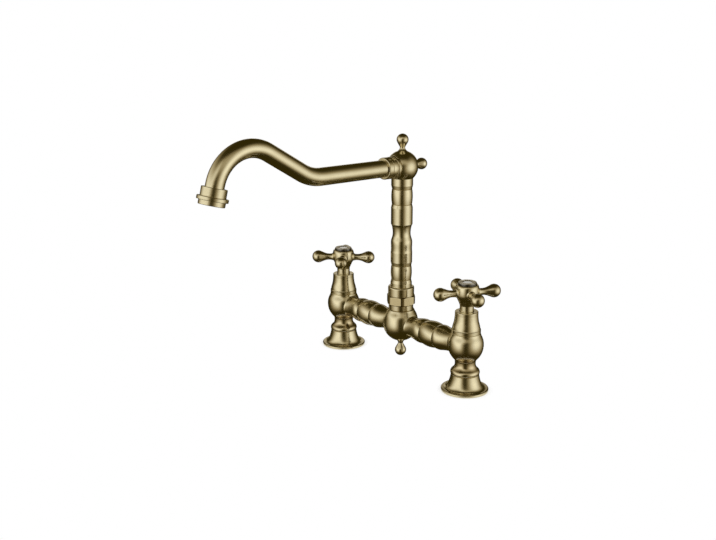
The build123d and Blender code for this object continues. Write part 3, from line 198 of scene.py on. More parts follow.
class Paint:
    """The node tree of one material."""

    def __init__(self, name):
        self.material = bpy.data.materials.new(name)
        self.material.use_nodes = True
        self.tree = self.material.node_tree
        self.tree.nodes.clear()

    def node(self, kind, settings=None, inputs=None, output=0):
        """Add a node, set what it works with, then its inputs, and give back one output."""
        made = self.tree.nodes.new("ShaderNode" + kind)
        for name, value in (settings or {}).items():
            setattr(made, name, value)
        for name, value in (inputs or {}).items():
            if isinstance(value, Wire):
                self.tree.links.new(value.socket, made.inputs[name])
            else:
                made.inputs[name].default_value = value
        return Wire(self, made.outputs[output])

    def surface(self, shader):
        """End the tree with a shader, and give back the material."""
        made = self.tree.nodes.new("ShaderNodeOutputMaterial")
        self.tree.links.new(shader.socket, made.inputs["Surface"])
        return self.material

    def noise(self, vector, scale, detail):
        """Cloudy pattern between 0 and 1."""
        inputs = {"Vector": vector, "Scale": scale, "Detail": detail}
        return self.node("TexNoise", None, inputs)

    def stretched(self, centre, stretch, turn=(0.0, 0.0, 0.0)):
        """Object coordinates from a centre, turned, and then stretched along each axis."""
        place = self.node("TexCoord", None, None, "Object")
        moved = self.node(
            "Mapping",
            {"vector_type": "TEXTURE"},
            {"Vector": place, "Location": centre, "Rotation": turn},
        )
        return self.node("VectorMath", {"operation": "MULTIPLY"}, {0: moved, 1: stretch})

    def height(self):
        """Height above the deck."""
        place = self.node("TexCoord", None, None, "Object")
        upward = {0: place, 1: UPRIGHT}
        return self.node("VectorMath", {"operation": "DOT_PRODUCT"}, upward, "Value")

    def blend(self, share, first, second):
        """A colour between two colours, with the share of the second."""
        inputs = {0: share, 6: first, 7: second}
        return self.node("Mix", {"data_type": "RGBA"}, inputs, 2)


def aged_brass(name, centre, strokes, turn=(0.0, 0.0, 0.0), necks=False, band=False):
    """Lacquered antique brass with brushed lines; strokes is how many per metre along each axis.

    With necks, a redder patina is left round the necks of the pillars. With band, the hexagon band
    of the swivel nut is darkened as a painted shade.
    """
    finish = bpy.context.scene.faucet_finish
    paint = Paint(name)
    lines = paint.noise(paint.stretched(centre, strokes, turn), 1.0, LINE_DETAIL)
    cloud = paint.noise(paint.stretched(centre, EVEN), finish.cloud_scale, CLOUD_DETAIL)
    # Painted shade with patina: ambient occlusion finds grooves and recesses, which are painted
    # darker and made rougher
    open_air = paint.node(
        "AmbientOcclusion",
        {"samples": RECESS_SAMPLES, "only_local": True},
        {"Distance": finish.recess_width},
        1,
    )
    recess_shade = 1.0 - open_air.between(RECESS_CLOSED, RECESS_OPEN)
    aged = finish.cloud_amount * (cloud - 0.5) + finish.line_amount * (lines - 0.5)
    aged = aged + MEAN_PATINA + recess_shade * finish.recess_shade_amount
    # Painted shade: the hexagon band of the swivel nut is darkened up to a height
    if band:
        over = paint.height().between(finish.band_top, finish.band_top + finish.band_fade)
        aged = aged + finish.band_shade_amount * (1.0 - over)
    # The patina mask holds the random patina and the painted shade in recesses and on the nut's
    # band
    patina = aged.between(0.0, 1.0)
    tone = paint.blend(patina, tuple(finish.brass_light), tuple(finish.brass_dark))
    if necks:
        height = paint.height() + finish.neck_ripple * (cloud - 0.5)
        below = height.between(finish.neck_low - finish.neck_fade, finish.neck_low)
        above = height.between(finish.neck_high, finish.neck_high + finish.neck_fade)
        share = finish.neck_amount * below * (1.0 - above)
        tone = paint.blend(share, tone, tuple(finish.neck_colour))
    rough = finish.brass_roughness + LINE_ROUGHNESS * (lines - 0.5)
    rough = rough + CLOUD_ROUGHNESS * (cloud - 0.5) + RECESS_ROUGHNESS * recess_shade
    bump = paint.node(
        "Bump",
        None,
        {"Height": lines, "Strength": finish.line_depth, "Distance": RELIEF},
    )
    shader = paint.node(
        "BsdfPrincipled",
        None,
        {
            "Base Color": tone,
            "Metallic": 1.0,
            "Roughness": rough,
            "Coat Weight": finish.lacquer,
            "Coat Roughness": LACQUER_ROUGHNESS,
            "Normal": bump,
        },
    )
    return paint.surface(shader)


def plain_finish(name, colour, roughness, grain, metallic=0.0, depth=0.15, coat=0.0, painted_shade=None):
    """A finish of one colour with a fine grain; grain is how many grains there are per metre.

    The painted shade argument holds the colour painted as shade below a height, the height up to
    which it is full and the height at which it ends.
    """
    paint = Paint(name)
    grains = paint.noise(paint.stretched(MIDDLE, EVEN), grain, GRAIN_DETAIL)
    darker = tuple(channel * GRAIN_DARKNESS for channel in colour[:3]) + (1.0,)
    tone = paint.blend(grains.between(GRAIN_LOW, GRAIN_HIGH), colour, darker)
    # Painted shade: below a given height the colour turns to a dark painted shade
    if painted_shade:
        painted_shade_colour, painted_shade_low, painted_shade_high = painted_shade
        tone = paint.blend(paint.height().between(painted_shade_low, painted_shade_high), painted_shade_colour, tone)
    bump = paint.node(
        "Bump",
        None,
        {"Height": grains, "Strength": depth, "Distance": RELIEF},
    )
    shader = paint.node(
        "BsdfPrincipled",
        None,
        {
            "Base Color": tone,
            "Metallic": metallic,
            "Roughness": roughness + GRAIN_ROUGHNESS * (grains - 0.5),
            "Coat Weight": coat,
            "Normal": bump,
        },
    )
    return paint.surface(shader)


def dress(material, *names):
    """Give CAD nodes a material."""
    for name in names:
        slots = frame["nodes"][name].data.materials
        slots.clear()
        slots.append(material)


def lathe(name, x, outline):
    """Turn an outline of (radius, height) pairs about the upright axis at x."""
    radius, height = outline[0]
    bpy.ops.object.select_all(action="DESELECT")
    bpy.ops.mesh.primitive_plane_add(size=START_SIZE, location=(x + radius, 0.0, height))
    bpy.ops.object.transform_apply(location=True)
    piece = bpy.context.object
    piece.name = name
    bpy.context.tool_settings.mesh_select_mode = (True, False, False)
    bpy.ops.object.mode_set(mode="EDIT")
    bpy.ops.mesh.select_all(action="SELECT")
    bpy.ops.mesh.merge(type="CENTER")
    for (radius, height), (wider, higher) in zip(outline, outline[1:]):
        step = (wider - radius, 0.0, higher - height)
        bpy.ops.mesh.extrude_region_move(TRANSFORM_OT_translate={"value": step})
    bpy.ops.mesh.select_all(action="SELECT")
    bpy.ops.mesh.spin(steps=LATHE_STEPS, angle=math.tau, center=(x, 0.0, 0.0), axis=UPRIGHT)
    bpy.ops.mesh.select_all(action="SELECT")
    bpy.ops.mesh.remove_doubles(threshold=MERGE_GAP)
    bpy.ops.mesh.normals_make_consistent(inside=False)
    bpy.ops.object.mode_set(mode="OBJECT")
    bpy.ops.object.shade_smooth_by_angle(angle=SHARP_ANGLE)
    return piece


def closed(piece):
    """Give a turned piece back, or stop the run where it has an open edge."""
    uses = {}
    for face in piece.data.polygons:
        for edge in face.edge_keys:
            uses[edge] = uses.get(edge, 0) + 1
    if set(uses.values()) != {2}:
        raise RuntimeError(f"{piece.name} isn't a closed mesh")
    return piece


def copied(piece, name, x):
    """A copy of a piece with its own mesh, moved along x."""
    bpy.ops.object.select_all(action="DESELECT")
    piece.select_set(True)
    bpy.context.view_layer.objects.active = piece
    bpy.ops.object.duplicate(linked=False)
    twin = bpy.context.object
    twin.name = name
    bpy.ops.transform.translate(value=(x, 0.0, 0.0))
    bpy.ops.object.transform_apply(location=True)
    return twin


class FaucetFinish(bpy.types.PropertyGroup):
    """Colours and patterns of the finishes"""

    brass_light: bpy.props.FloatVectorProperty(
        name="Brass",
        description="Colour of the brass where it is rubbed bright",
        subtype="COLOR",
        size=4,
        default=(0.70, 0.63, 0.42, 1.0),
    )
    # Patina colour, also the colour of the painted shade in recesses and on the nut's band
    brass_dark: bpy.props.FloatVectorProperty(
        name="Patina",
        description="Colour of the brass where the patina is left",
        subtype="COLOR",
        size=4,
        default=(0.50, 0.41, 0.21, 1.0),
    )
    brass_roughness: bpy.props.FloatProperty(
        name="Brass roughness",
        description="Mean roughness of the brushed brass",
        default=0.2,
        min=0.02,
        max=1.0,
    )
    lacquer: bpy.props.FloatProperty(
        name="Lacquer",
        description="Weight of the clear coat over the brass",
        default=0.8,
        min=0.0,
        max=1.0,
    )
    cloud_scale: bpy.props.FloatProperty(
        name="Patina scale",
        description="Patches of patina per metre",
        default=70.0,
    )
    cloud_amount: bpy.props.FloatProperty(
        name="Patina amount",
        description="How much the patches differ",
        default=0.3,
    )
    line_amount: bpy.props.FloatProperty(
        name="Line contrast",
        description="How much the brushed lines differ in colour",
        default=0.25,
    )
    line_depth: bpy.props.FloatProperty(
        name="Line depth",
        description="Strength of the brushed lines in the surface",
        default=0.08,
    )
    # Painted shade on the hexagon band of the swivel nut: how much darker it is painted, the
    # height up to which it is full and the height over which it fades
    band_shade_amount: bpy.props.FloatProperty(
        name="Nut patina amount",
        description="How much more patina the hexagon band of the swivel nut has",
        default=0.5,
    )
    band_top: bpy.props.FloatProperty(
        name="Nut patina, top",
        description="Height above the deck up to which the band's patina is full",
        unit="LENGTH",
        default=0.0843,
    )
    band_fade: bpy.props.FloatProperty(
        name="Nut patina, fade",
        description="Height over which the band's patina fades out",
        unit="LENGTH",
        default=0.0006,
    )
    neck_colour: bpy.props.FloatVectorProperty(
        name="Neck patina",
        description="Colour of the redder patina round the necks of the pillars",
        subtype="COLOR",
        size=4,
        default=(0.50, 0.36, 0.17, 1.0),
    )
    neck_amount: bpy.props.FloatProperty(
        name="Neck patina amount",
        description="Share of the redder patina where it is full",
        default=0.4,
    )
    neck_low: bpy.props.FloatProperty(
        name="Neck patina, foot",
        description="Height above the deck from which the redder patina is full",
        unit="LENGTH",
        default=0.028,
    )
    neck_high: bpy.props.FloatProperty(
        name="Neck patina, top",
        description="Height above the deck up to which the redder patina is full",
        unit="LENGTH",
        default=0.040,
    )
    neck_fade: bpy.props.FloatProperty(
        name="Neck patina, fade",
        description="Height over which the redder patina fades out at its foot and top",
        unit="LENGTH",
        default=0.013,
    )
    neck_ripple: bpy.props.FloatProperty(
        name="Neck patina, ripple",
        description="How far the edge of the redder patina wanders",
        unit="LENGTH",
        default=0.008,
    )
    # Reach of the ambient occlusion that paints shade and patina into grooves
    recess_width: bpy.props.FloatProperty(
        name="Recess width",
        description="Width of the grooves that hold patina",
        unit="LENGTH",
        default=0.0015,
    )
    # How dark grooves and recesses are painted, as painted shade with patina
    recess_shade_amount: bpy.props.FloatProperty(
        name="Recess patina",
        description="How dark the patina is in grooves",
        default=0.8,
    )
    nickel_bright: bpy.props.FloatVectorProperty(
        name="Nickel",
        description="Colour of the satin nickel on the bezels' tops",
        subtype="COLOR",
        size=4,
        default=(0.80, 0.78, 0.73, 1.0),
    )
    # Painted shade: the near-black colour painted on the bezels' sides below their tops
    nickel_painted_shade: bpy.props.FloatVectorProperty(
        name="Dull nickel",
        description="Colour of the nickel on the bezels' sides, which was never rubbed bright",
        subtype="COLOR",
        size=4,
        default=(0.15, 0.14, 0.12, 1.0),
    )
    enamel_colour: bpy.props.FloatVectorProperty(
        name="Enamel",
        description="Colour of the enamel buttons",
        subtype="COLOR",
        size=4,
        default=(0.68, 0.67, 0.63, 1.0),
    )


class FaucetIndex(bpy.types.PropertyGroup):
    """Sizes of the bezels and enamel buttons on the handles"""

    radius: bpy.props.FloatProperty(
        name="Bezel radius",
        description="Outer radius of the bezel on a handle's hub",
        unit="LENGTH",
        default=0.01018,
    )
    foot: bpy.props.FloatProperty(
        name="Bezel foot",
        description="Height of the hub's top, on which the bezel sits",
        unit="LENGTH",
        default=0.1177,
    )
    top: bpy.props.FloatProperty(
        name="Bezel top",
        description="Height of the bezel's top above the deck",
        unit="LENGTH",
        default=0.1205,
    )
    plug_foot: bpy.props.FloatProperty(
        name="Plug foot",
        description="Height of the foot of the plug that holds the bezel in the hub",
        unit="LENGTH",
        default=0.1135,
    )
    plug_radius: bpy.props.FloatProperty(
        name="Plug radius",
        description="Radius of the plug that holds the bezel in the hub",
        unit="LENGTH",
        default=0.0088,
    )
    pocket_radius: bpy.props.FloatProperty(
        name="Pocket radius",
        description="Radius of the pocket for the enamel button",
        unit="LENGTH",
        default=0.00515,
    )
    pocket_floor: bpy.props.FloatProperty(
        name="Pocket floor",
        description="Height of the pocket's floor above the deck",
        unit="LENGTH",
        default=0.1189,
    )
    groove: bpy.props.FloatProperty(
        name="Groove width",
        description="Width and spacing of the fine rings turned in the bezel's top",
        unit="LENGTH",
        default=0.00042,
    )
    button_radius: bpy.props.FloatProperty(
        name="Button radius",
        description="Radius of the enamel button",
        unit="LENGTH",
        default=0.00495,
    )
    button_crown: bpy.props.FloatProperty(
        name="Button crown",
        description="How far the middle of the enamel button stands above its rim",
        unit="LENGTH",
        default=0.00055,
    )


class FaucetStudio(bpy.types.PropertyGroup):
    """Camera, light tent and floor"""

    bearing: bpy.props.FloatProperty(
        name="Camera bearing",
        description="Direction of the camera round the faucet, from the spout's side",
        subtype="ANGLE",
        default=math.radians(48.70),
    )
    height: bpy.props.FloatProperty(
        name="Camera height",
        description="Angle of the camera above the deck",
        subtype="ANGLE",
        default=math.radians(15.39),
    )
    tilt: bpy.props.FloatProperty(
        name="Camera tilt",
        description="Turn of the camera about its own line of sight",
        subtype="ANGLE",
        default=math.radians(-0.12),
    )
    distance: bpy.props.FloatProperty(
        name="Camera distance",
        description="From the camera to the point that it looks at",
        unit="LENGTH",
        default=1.15778,
    )
    aim: bpy.props.FloatVectorProperty(
        name="Camera aim",
        description="Point that the camera looks at",
        subtype="XYZ",
        default=(-0.07357, 0.0, 0.09766),
    )
    lens: bpy.props.FloatProperty(
        name="Lens",
        description="Focal length of the camera in millimetres",
        default=49.32,
    )
    light: bpy.props.FloatProperty(
        name="Light",
        description="Brightness of the tent at the middle of each bright field",
        default=1.25,
    )
    left_outer: bpy.props.FloatProperty(
        name="Left field, outer edge",
        description="Angle from the camera at which the left field ends",
        subtype="ANGLE",
        default=math.radians(-125.0),
    )
    left_peak: bpy.props.FloatProperty(
        name="Left field, peak",
        description="Angle from the camera at which the left field is brightest",
        subtype="ANGLE",
        default=math.radians(-47.0),
    )
    left_inner: bpy.props.FloatProperty(
        name="Left field, inner edge",
        description="Angle from the camera at which the left field begins",
        subtype="ANGLE",
        default=math.radians(-9.0),
    )
    left_lean: bpy.props.FloatProperty(
        name="Left field, lean",
        description="How far the left field reaches towards the camera at its top",
        subtype="ANGLE",
        default=math.radians(20.0),
    )
    lean_low: bpy.props.FloatProperty(
        name="Lean, foot",
        description="Angle above the middle of the faucet at which the left field begins to lean",
        subtype="ANGLE",
        default=math.radians(0.0),
    )
    lean_high: bpy.props.FloatProperty(
        name="Lean, top",
        description="Angle above the middle of the faucet at which the left field leans in full",
        subtype="ANGLE",
        default=math.radians(42.0),
    )
    left_spread: bpy.props.FloatProperty(
        name="Left field, spread",
        description="How far the left field reaches behind the faucet at its top",
        subtype="ANGLE",
        default=math.radians(38.0),
    )
    spread_low: bpy.props.FloatProperty(
        name="Spread, foot",
        description="Angle above the faucet's middle at which the left field begins to spread",
        subtype="ANGLE",
        default=math.radians(-12.0),
    )
    spread_high: bpy.props.FloatProperty(
        name="Spread, top",
        description="Angle above the faucet's middle at which the left field spreads in full",
        subtype="ANGLE",
        default=math.radians(30.0),
    )
    right_inner: bpy.props.FloatProperty(
        name="Right field, inner edge",
        description="Angle from the camera at which the right field begins",
        subtype="ANGLE",
        default=math.radians(1.0),
    )
    right_peak: bpy.props.FloatProperty(
        name="Right field, peak",
        description="Angle from the camera at which the right field is brightest",
        subtype="ANGLE",
        default=math.radians(64.0),
    )
    right_outer: bpy.props.FloatProperty(
        name="Right field, outer edge",
        description="Angle from the camera at which the right field ends",
        subtype="ANGLE",
        default=math.radians(138.0),
    )
    light_low: bpy.props.FloatProperty(
        name="Foot of the light",
        description="Angle below the middle of the faucet at which both fields end",
        subtype="ANGLE",
        default=math.radians(-52.0),
    )
    light_peak: bpy.props.FloatProperty(
        name="Height of the light",
        description="Angle above the middle of the faucet at which both fields are brightest",
        subtype="ANGLE",
        default=math.radians(0.0),
    )
    light_high: bpy.props.FloatProperty(
        name="Top of the light",
        description="Angle above the middle of the faucet at which both fields end",
        subtype="ANGLE",
        default=math.radians(62.0),
    )
    front_level: bpy.props.FloatProperty(
        name="Front field",
        description="Share of the light in the soft field above the camera",
        default=0.32,
    )
    front_inner: bpy.props.FloatProperty(
        name="Front field, inner edge",
        description="Angle to either side up to which the front field is full",
        subtype="ANGLE",
        default=math.radians(10.0),
    )
    front_outer: bpy.props.FloatProperty(
        name="Front field, outer edge",
        description="Angle to either side at which the front field ends",
        subtype="ANGLE",
        default=math.radians(60.0),
    )
    front_low: bpy.props.FloatProperty(
        name="Front field, foot",
        description="Angle above the middle of the faucet at which the front field begins",
        subtype="ANGLE",
        default=math.radians(16.0),
    )
    front_peak: bpy.props.FloatProperty(
        name="Front field, peak",
        description="Angle above the middle of the faucet at which the front field is full",
        subtype="ANGLE",
        default=math.radians(34.0),
    )
    front_high: bpy.props.FloatProperty(
        name="Front field, top",
        description="Angle above the middle of the faucet at which the front field ends",
        subtype="ANGLE",
        default=math.radians(66.0),
    )
    rear_level: bpy.props.FloatProperty(
        name="Rear field",
        description="Share of the light in the field behind the faucet",
        default=0.45,
    )
    rear_inner: bpy.props.FloatProperty(
        name="Rear field, edge",
        description="Angle from the camera at which the rear field begins",
        subtype="ANGLE",
        default=math.radians(150.0),
    )
    rear_outer: bpy.props.FloatProperty(
        name="Rear field, full",
        description="Angle from the camera from which the rear field is full",
        subtype="ANGLE",
        default=math.radians(168.0),
    )
    rear_low: bpy.props.FloatProperty(
        name="Rear field, foot",
        description="Angle above the middle of the faucet at which the rear field begins",
        subtype="ANGLE",
        default=math.radians(-2.0),
    )
    rear_high: bpy.props.FloatProperty(
        name="Rear field, peak",
        description="Angle above the middle of the faucet at which the rear field is full",
        subtype="ANGLE",
        default=math.radians(13.0),
    )
    light_colour: bpy.props.FloatVectorProperty(
        name="Light colour",
        description="Colour of the bright fields",
        subtype="COLOR",
        size=4,
        default=(1.0, 0.99, 0.96, 1.0),
    )
    edge_colour: bpy.props.FloatVectorProperty(
        name="Edge colour",
        description="Colour of the bright fields where they fade out",
        subtype="COLOR",
        size=4,
        default=(1.0, 0.83, 0.52, 1.0),
    )
    cloth_colour: bpy.props.FloatVectorProperty(
        name="Cloth",
        description="Colour of the dark cloth between the bright fields",
        subtype="COLOR",
        size=4,
        default=(0.038, 0.028, 0.004, 1.0),
    )
    floor_colour: bpy.props.FloatVectorProperty(
        name="Floor",
        description="Colour of the plain pale floor",
        subtype="COLOR",
        size=4,
        default=(0.95, 0.95, 0.95, 1.0),
    )
    floor_white: bpy.props.FloatProperty(
        name="Floor white",
        description="Share of plain white in the floor as it is seen",
        default=0.75,
    )
    floor_solid: bpy.props.FloatProperty(
        name="Floor, solid",
        description="Distance from a pillar up to which the floor is solid",
        unit="LENGTH",
        default=0.0262,
    )
    floor_end: bpy.props.FloatProperty(
        name="Floor, end",
        description="Distance from a pillar at which the floor has turned into the surround",
        unit="LENGTH",
        default=0.031,
    )


class FAUCET_OT_upright_brass(bpy.types.Operator):
    """Finish the pillars, bonnets, flanges and handles"""

    bl_idname = "faucet.upright_brass"
    bl_label = "Pillars and handles"

    def execute(self, context):
        for side in SIDES:
            centre = (PILLAR_X[side], 0.0, 0.0)
            turned = aged_brass(f"turned_brass_{side}", centre, TURNED_UPRIGHT, necks=True)
            cast = aged_brass(f"cast_brass_{side}", centre, CAST_HANDLE)
            dress(turned, f"base_flange_{side}", f"pillar_body_{side}", f"bonnet_{side}")
            dress(cast, f"cross_handle_{side}")
        return {"FINISHED"}


class FAUCET_OT_bridge_brass(bpy.types.Operator):
    """Finish the bridge, the column and the spout"""

    bl_idname = "faucet.bridge_brass"
    bl_label = "Bridge and spout"

    def execute(self, context):
        turned = aged_brass("turned_brass_middle", MIDDLE, TURNED_UPRIGHT)
        across = aged_brass("turned_brass_across", BRIDGE_MIDDLE, TURNED_ACROSS)
        along = aged_brass("drawn_brass_spout", MIDDLE, DRAWN_SPOUT)
        forward = aged_brass("turned_brass_forward", MIDDLE, TURNED_FORWARD)
        # The swivel nut's hexagon band carries a painted shade
        nut = aged_brass("turned_brass_nut", MIDDLE, TURNED_UPRIGHT, band=True)
        nozzle = aged_brass("turned_brass_nozzle", MIDDLE, TURNED_UPRIGHT, NOZZLE_TILT)
        dress(turned, "centre_body", "bottom_finial", "riser_column", "spout_head", "top_finial")
        dress(nut, "swivel_nut")
        dress(across, "bridge_arm_left", "bridge_arm_right")
        dress(forward, "spout_collar", "rear_finial")
        dress(along, "spout_tube")
        dress(nozzle, "nozzle_collar", "aerator_housing")
        return {"FINISHED"}


class FAUCET_OT_bezels(bpy.types.Operator):
    """Turn the stepped bezels on the two hubs, with fine rings in their tops"""

    bl_idname = "faucet.bezels"
    bl_label = "Bezels"

    def execute(self, context):
        finish = context.scene.faucet_finish
        size = context.scene.faucet_index
        groove = size.groove
        # Satin nickel, with a painted shade on the bezel's sides below its top
        nickel = plain_finish(
            "satin_nickel",
            tuple(finish.nickel_bright),
            roughness=0.26,
            metallic=1.0,
            grain=1500.0,
            painted_shade=(tuple(finish.nickel_painted_shade), size.top - PAINTED_SHADE_DEPTH * groove, size.top),
        )
        outline = [
            (0.0, size.plug_foot),
            (size.plug_radius, size.plug_foot),
            (size.plug_radius, size.foot),
            (size.radius - groove, size.foot),
            (size.radius, size.foot + groove),
            (size.radius, size.foot + SKIRT_TOP * groove),
            (size.radius - groove, size.foot + STEP_FOOT * groove),
            (size.radius - groove, size.foot + STEP_TOP * groove),
        ]
        shoulder = size.radius - SHOULDER_INSET * groove
        shoulder_foot = size.top - groove - groove
        for step in range(SHOULDER_POINTS):
            angle = math.radians(SHOULDER_TURN * (step + 1))
            across = shoulder + SHOULDER_ACROSS * groove * math.cos(angle)
            high = shoulder_foot + SHOULDER_HEIGHT * groove * math.sin(angle)
            outline.append((across, high))
        ring_width = (shoulder - size.pocket_radius - RIM_WIDTH * groove) / RINGS
        ring_low = size.top - RING_DEPTH * groove
        for ring in range(RINGS):
            outside = shoulder - ring * ring_width
            outline.append((outside - RING_EDGE * ring_width, size.top))
            outline.append((outside - RING_FLOOR * ring_width, ring_low))
            outline.append((outside - RING_BACK * ring_width, ring_low))
            outline.append((outside - ring_width, size.top))
        outline += [
            (size.pocket_radius + groove, size.top),
            (size.pocket_radius, size.top - groove),
            (size.pocket_radius, size.pocket_floor),
            (0.0, size.pocket_floor),
        ]
        first = closed(lathe("bezel_left", PILLAR_X["left"], outline))
        first.data.materials.append(nickel)
        second = copied(first, "bezel_right", PILLAR_X["right"] - PILLAR_X["left"])
        for side, piece in zip(SIDES, (first, second)):
            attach(piece, f"handle_{side}")
            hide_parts(f"index_bezel_{side}")
        return {"FINISHED"}


class FAUCET_OT_buttons(bpy.types.Operator):
    """Turn the plain domed enamel buttons in the bezels"""

    bl_idname = "faucet.buttons"
    bl_label = "Enamel buttons"

    def execute(self, context):
        finish = context.scene.faucet_finish
        size = context.scene.faucet_index
        enamel = plain_finish(
            "white_enamel",
            tuple(finish.enamel_colour),
            roughness=0.16,
            grain=700.0,
            depth=0.05,
            coat=0.8,
        )
        top = size.top - BUTTON_SINK
        rim = top - size.button_crown - BUTTON_EDGE * size.button_crown
        rise = size.button_crown + BUTTON_EDGE * size.button_crown
        outline = [
            (0.0, size.pocket_floor),
            (size.button_radius, size.pocket_floor),
            (size.button_radius, rim),
        ]
        for step in range(DOME_POINTS - 1):
            angle = math.radians(DOME_TURN * (step + 1))
            outline.append((size.button_radius * math.cos(angle), rim + rise * math.sin(angle)))
        outline.append((0.0, top))
        first = closed(lathe("enamel_button_left", PILLAR_X["left"], outline))
        first.data.materials.append(enamel)
        second = copied(first, "enamel_button_right", PILLAR_X["right"] - PILLAR_X["left"])
        for side, piece in zip(SIDES, (first, second)):
            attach(piece, f"handle_{side}")
            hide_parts(f"index_disc_{side}")
        return {"FINISHED"}


class FAUCET_OT_small_parts(bpy.types.Operator):
    """Finish the valves, seals and aerator"""

    bl_idname = "faucet.small_parts"
    bl_label = "Small parts"

    def execute(self, context):
        brass = plain_finish("machined_brass", BRASS, roughness=0.28, metallic=1.0, grain=1800.0)
        steel = plain_finish("plain_steel", STEEL, roughness=0.32, metallic=1.0, grain=1500.0)
        rubber = plain_finish("black_rubber", RUBBER, roughness=0.62, grain=1200.0, depth=0.35)
        ceramic = plain_finish("lapped_ceramic", CERAMIC, roughness=0.16, grain=1500.0, depth=0.05)
        plastic = plain_finish("white_plastic", PLASTIC, roughness=0.45, grain=1100.0, depth=0.2)
        for side in SIDES:
            dress(brass, f"valve_body_{side}", f"spindle_{side}")
            dress(steel, f"handle_screw_{side}", f"spindle_clip_{side}")
            dress(ceramic, f"fixed_disc_{side}", f"moving_disc_{side}")
            dress(rubber, f"deck_seal_{side}", f"seat_seal_{side}", f"valve_washer_{side}")
            dress(rubber, f"spindle_o_rings_{side}", f"arm_o_rings_{side}")
        dress(rubber, "column_o_rings", "head_washer", "aerator_washer")
        dress(steel, "aerator_screen")
        dress(plastic, "aerator_insert", "swivel_bush")
        return {"FINISHED"}


def seen_share(paint):
    """1 for rays from the camera, from gloss and through glass, and 0 for all others."""
    light_path = paint.tree.nodes.new("ShaderNodeLightPath")
    names = ("Is Camera Ray", "Is Glossy Ray", "Is Transmission Ray")
    rays = [Wire(paint, light_path.outputs[name]) for name in names]
    return (rays[0] + rays[1] + rays[2]).between(0.0, 1.0)


def tent_cloth():
    """Dark cloth with bright fields left and right of the camera, and two dim ones.

    One of the dim ones is above the camera, and the other is behind the faucet.
    """
    studio = bpy.context.scene.faucet_studio
    paint = Paint("tent_cloth")
    place = paint.node("TexCoord", None, None, "Object")
    dot = {"operation": "DOT_PRODUCT"}
    ahead = (math.sin(studio.bearing), -math.cos(studio.bearing), 0.0)
    aside = (math.cos(studio.bearing), math.sin(studio.bearing), 0.0)
    forward = paint.node("VectorMath", dot, {0: place, 1: ahead}, "Value")
    sideways = paint.node("VectorMath", dot, {0: place, 1: aside}, "Value")
    upward = paint.node("VectorMath", dot, {0: place, 1: (0.0, 0.0, 1.0 / TENT_RADIUS)}, "Value")
    turn = sideways.maths("ARCTAN2", sideways, forward)
    lift = upward.maths("ARCSINE", upward)
    leaning = turn - studio.left_lean * lift.between(studio.lean_low, studio.lean_high)
    spreading = turn + studio.left_spread * lift.between(studio.spread_low, studio.spread_high)
    left = spreading.between(studio.left_outer, studio.left_peak) * (
        1.0 - leaning.between(studio.left_peak, studio.left_inner)
    )
    right = turn.between(studio.right_inner, studio.right_peak) * (
        1.0 - turn.between(studio.right_peak, studio.right_outer)
    )
    height = lift.between(studio.light_low, studio.light_peak) * (
        1.0 - lift.between(studio.light_peak, studio.light_high)
    )
    front = turn.between(-studio.front_outer, -studio.front_inner) * (
        1.0 - turn.between(studio.front_inner, studio.front_outer)
    )
    overhead = lift.between(studio.front_low, studio.front_peak) * (
        1.0 - lift.between(studio.front_peak + FRONT_HOLD, studio.front_high)
    )
    behind = turn.maths("ABSOLUTE", turn).between(studio.rear_inner, studio.rear_outer)
    backdrop = lift.between(studio.rear_low, studio.rear_high) * (
        1.0 - lift.between(studio.rear_high, REAR_TOP * studio.rear_high)
    )
    share = (left + right) * height + studio.front_level * front * overhead
    share = share + studio.rear_level * behind * backdrop
    depth = share.between(0.0, EDGE_END)
    tone = paint.blend(depth, tuple(studio.edge_colour), tuple(studio.light_colour))
    level = {0: tone, "Scale": studio.light * share}
    bright = paint.node("VectorMath", {"operation": "SCALE"}, level)
    cloth = tuple(studio.cloth_colour)[:3]
    glow = paint.node("VectorMath", {"operation": "ADD"}, {0: bright, 1: cloth})
    return paint.surface(paint.node("Emission", None, {"Color": glow}))


def floor_finish():
    """A matt pale floor with a soft shadow, which turns into the surround away from a pillar."""
    studio = bpy.context.scene.faucet_studio
    paint = Paint("pale_floor")
    matt = paint.node("BsdfDiffuse", None, {"Color": tuple(studio.floor_colour)})
    white = paint.node("Emission", None, {"Color": WHITE})
    share = studio.floor_white * seen_share(paint)
    pale = paint.node("MixShader", None, {0: share, 1: matt, 2: white})
    place = paint.node("TexCoord", None, None, "Object")
    mirrored = paint.node("VectorMath", {"operation": "ABSOLUTE"}, {0: place})
    pillar = (PILLAR_X["right"], 0.0, 0.0)
    away = paint.node("VectorMath", {"operation": "DISTANCE"}, {0: mirrored, 1: pillar}, "Value")
    surround = paint.node("BsdfTransparent")
    fade = away.between(studio.floor_solid, studio.floor_end)
    return paint.surface(paint.node("MixShader", None, {0: fade, 1: pale, 2: surround}))


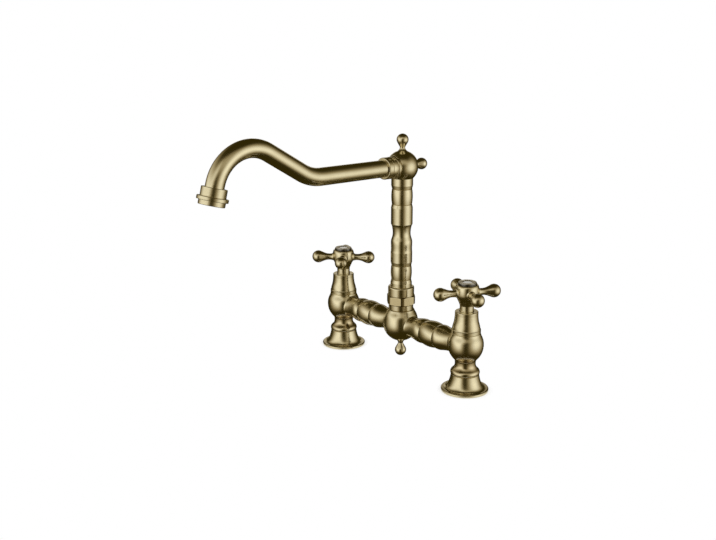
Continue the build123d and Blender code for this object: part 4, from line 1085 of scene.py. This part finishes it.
class FAUCET_OT_stage(bpy.types.Operator):
    """Set the camera, the floor, the light tent and the white surround"""

    bl_idname = "faucet.stage"
    bl_label = "Stage"

    def execute(self, context):
        studio = context.scene.faucet_studio
        back = Vector(
            (
                math.sin(studio.bearing) * math.cos(studio.height),
                -math.cos(studio.bearing) * math.cos(studio.height),
                math.sin(studio.height),
            )
        )
        data = bpy.data.cameras.new("camera")
        data.lens = studio.lens
        data.sensor_width = SENSOR_WIDTH
        data.clip_start = CLIP_START
        camera = bpy.data.objects.new("camera", data)
        context.scene.collection.objects.link(camera)
        turn = (-back).to_track_quat("-Z", "Y").to_matrix().to_4x4()
        place = Matrix.Translation(Vector(studio.aim) + back * studio.distance)
        camera.matrix_world = place @ turn @ Matrix.Rotation(studio.tilt, 4, "Z")
        context.scene.camera = camera

        bpy.ops.object.select_all(action="DESELECT")
        bpy.ops.mesh.primitive_circle_add(
            vertices=FLOOR_SIDES, radius=FLOOR_RADIUS, fill_type="NGON"
        )
        floor = context.object
        floor.name = "floor"
        floor.data.materials.append(floor_finish())

        bpy.ops.object.select_all(action="DESELECT")
        bpy.ops.mesh.primitive_uv_sphere_add(
            segments=TENT_SEGMENTS,
            ring_count=TENT_RINGS,
            radius=TENT_RADIUS,
            location=(0.0, 0.0, TENT_MIDDLE),
        )
        tent = context.object
        tent.name = "light_tent"
        tent.data.materials.append(tent_cloth())
        tent.visible_camera = False
        tent.visible_diffuse = False
        tent.visible_shadow = False

        world = bpy.data.worlds.new("surround")
        context.scene.world = world
        world.use_nodes = True
        tree = world.node_tree
        tree.nodes.clear()
        shine = tree.nodes.new("ShaderNodeBackground")
        shine.inputs["Color"].default_value = WHITE
        end = tree.nodes.new("ShaderNodeOutputWorld")
        tree.links.new(shine.outputs["Background"], end.inputs["Surface"])
        context.scene.view_settings.view_transform = "Standard"
        return {"FINISHED"}


class FAUCET_PT_panel(bpy.types.Panel):
    """Sizes and finishes of the faucet, and the steps that make it"""

    bl_idname = "FAUCET_PT_panel"
    bl_label = "Faucet"
    bl_space_type = "VIEW_3D"
    bl_region_type = "UI"
    bl_category = "Faucet"

    def draw(self, context):
        for name, kind in GROUPS:
            for size in kind.__annotations__:
                self.layout.prop(getattr(context.scene, name), size)
        for operator in OPERATORS:
            self.layout.operator(operator.bl_idname)


GROUPS = (
    ("faucet_finish", FaucetFinish),
    ("faucet_index", FaucetIndex),
    ("faucet_studio", FaucetStudio),
)
OPERATORS = (
    FAUCET_OT_upright_brass,
    FAUCET_OT_bridge_brass,
    FAUCET_OT_bezels,
    FAUCET_OT_buttons,
    FAUCET_OT_small_parts,
    FAUCET_OT_stage,
)


def register():
    for name, group in GROUPS:
        bpy.utils.register_class(group)
        setattr(bpy.types.Scene, name, bpy.props.PointerProperty(type=group))
    for kind in (*OPERATORS, FAUCET_PT_panel):
        bpy.utils.register_class(kind)


def unregister():
    for kind in (FAUCET_PT_panel, *reversed(OPERATORS)):
        bpy.utils.unregister_class(kind)
    for name, group in reversed(GROUPS):
        delattr(bpy.types.Scene, name)
        bpy.utils.unregister_class(group)


def main():
    register()
    bpy.ops.faucet.upright_brass()
    bpy.ops.faucet.bridge_brass()
    bpy.ops.faucet.bezels()
    bpy.ops.faucet.buttons()
    bpy.ops.faucet.small_parts()
    bpy.ops.faucet.stage()


if __name__ == "__main__":
    main()
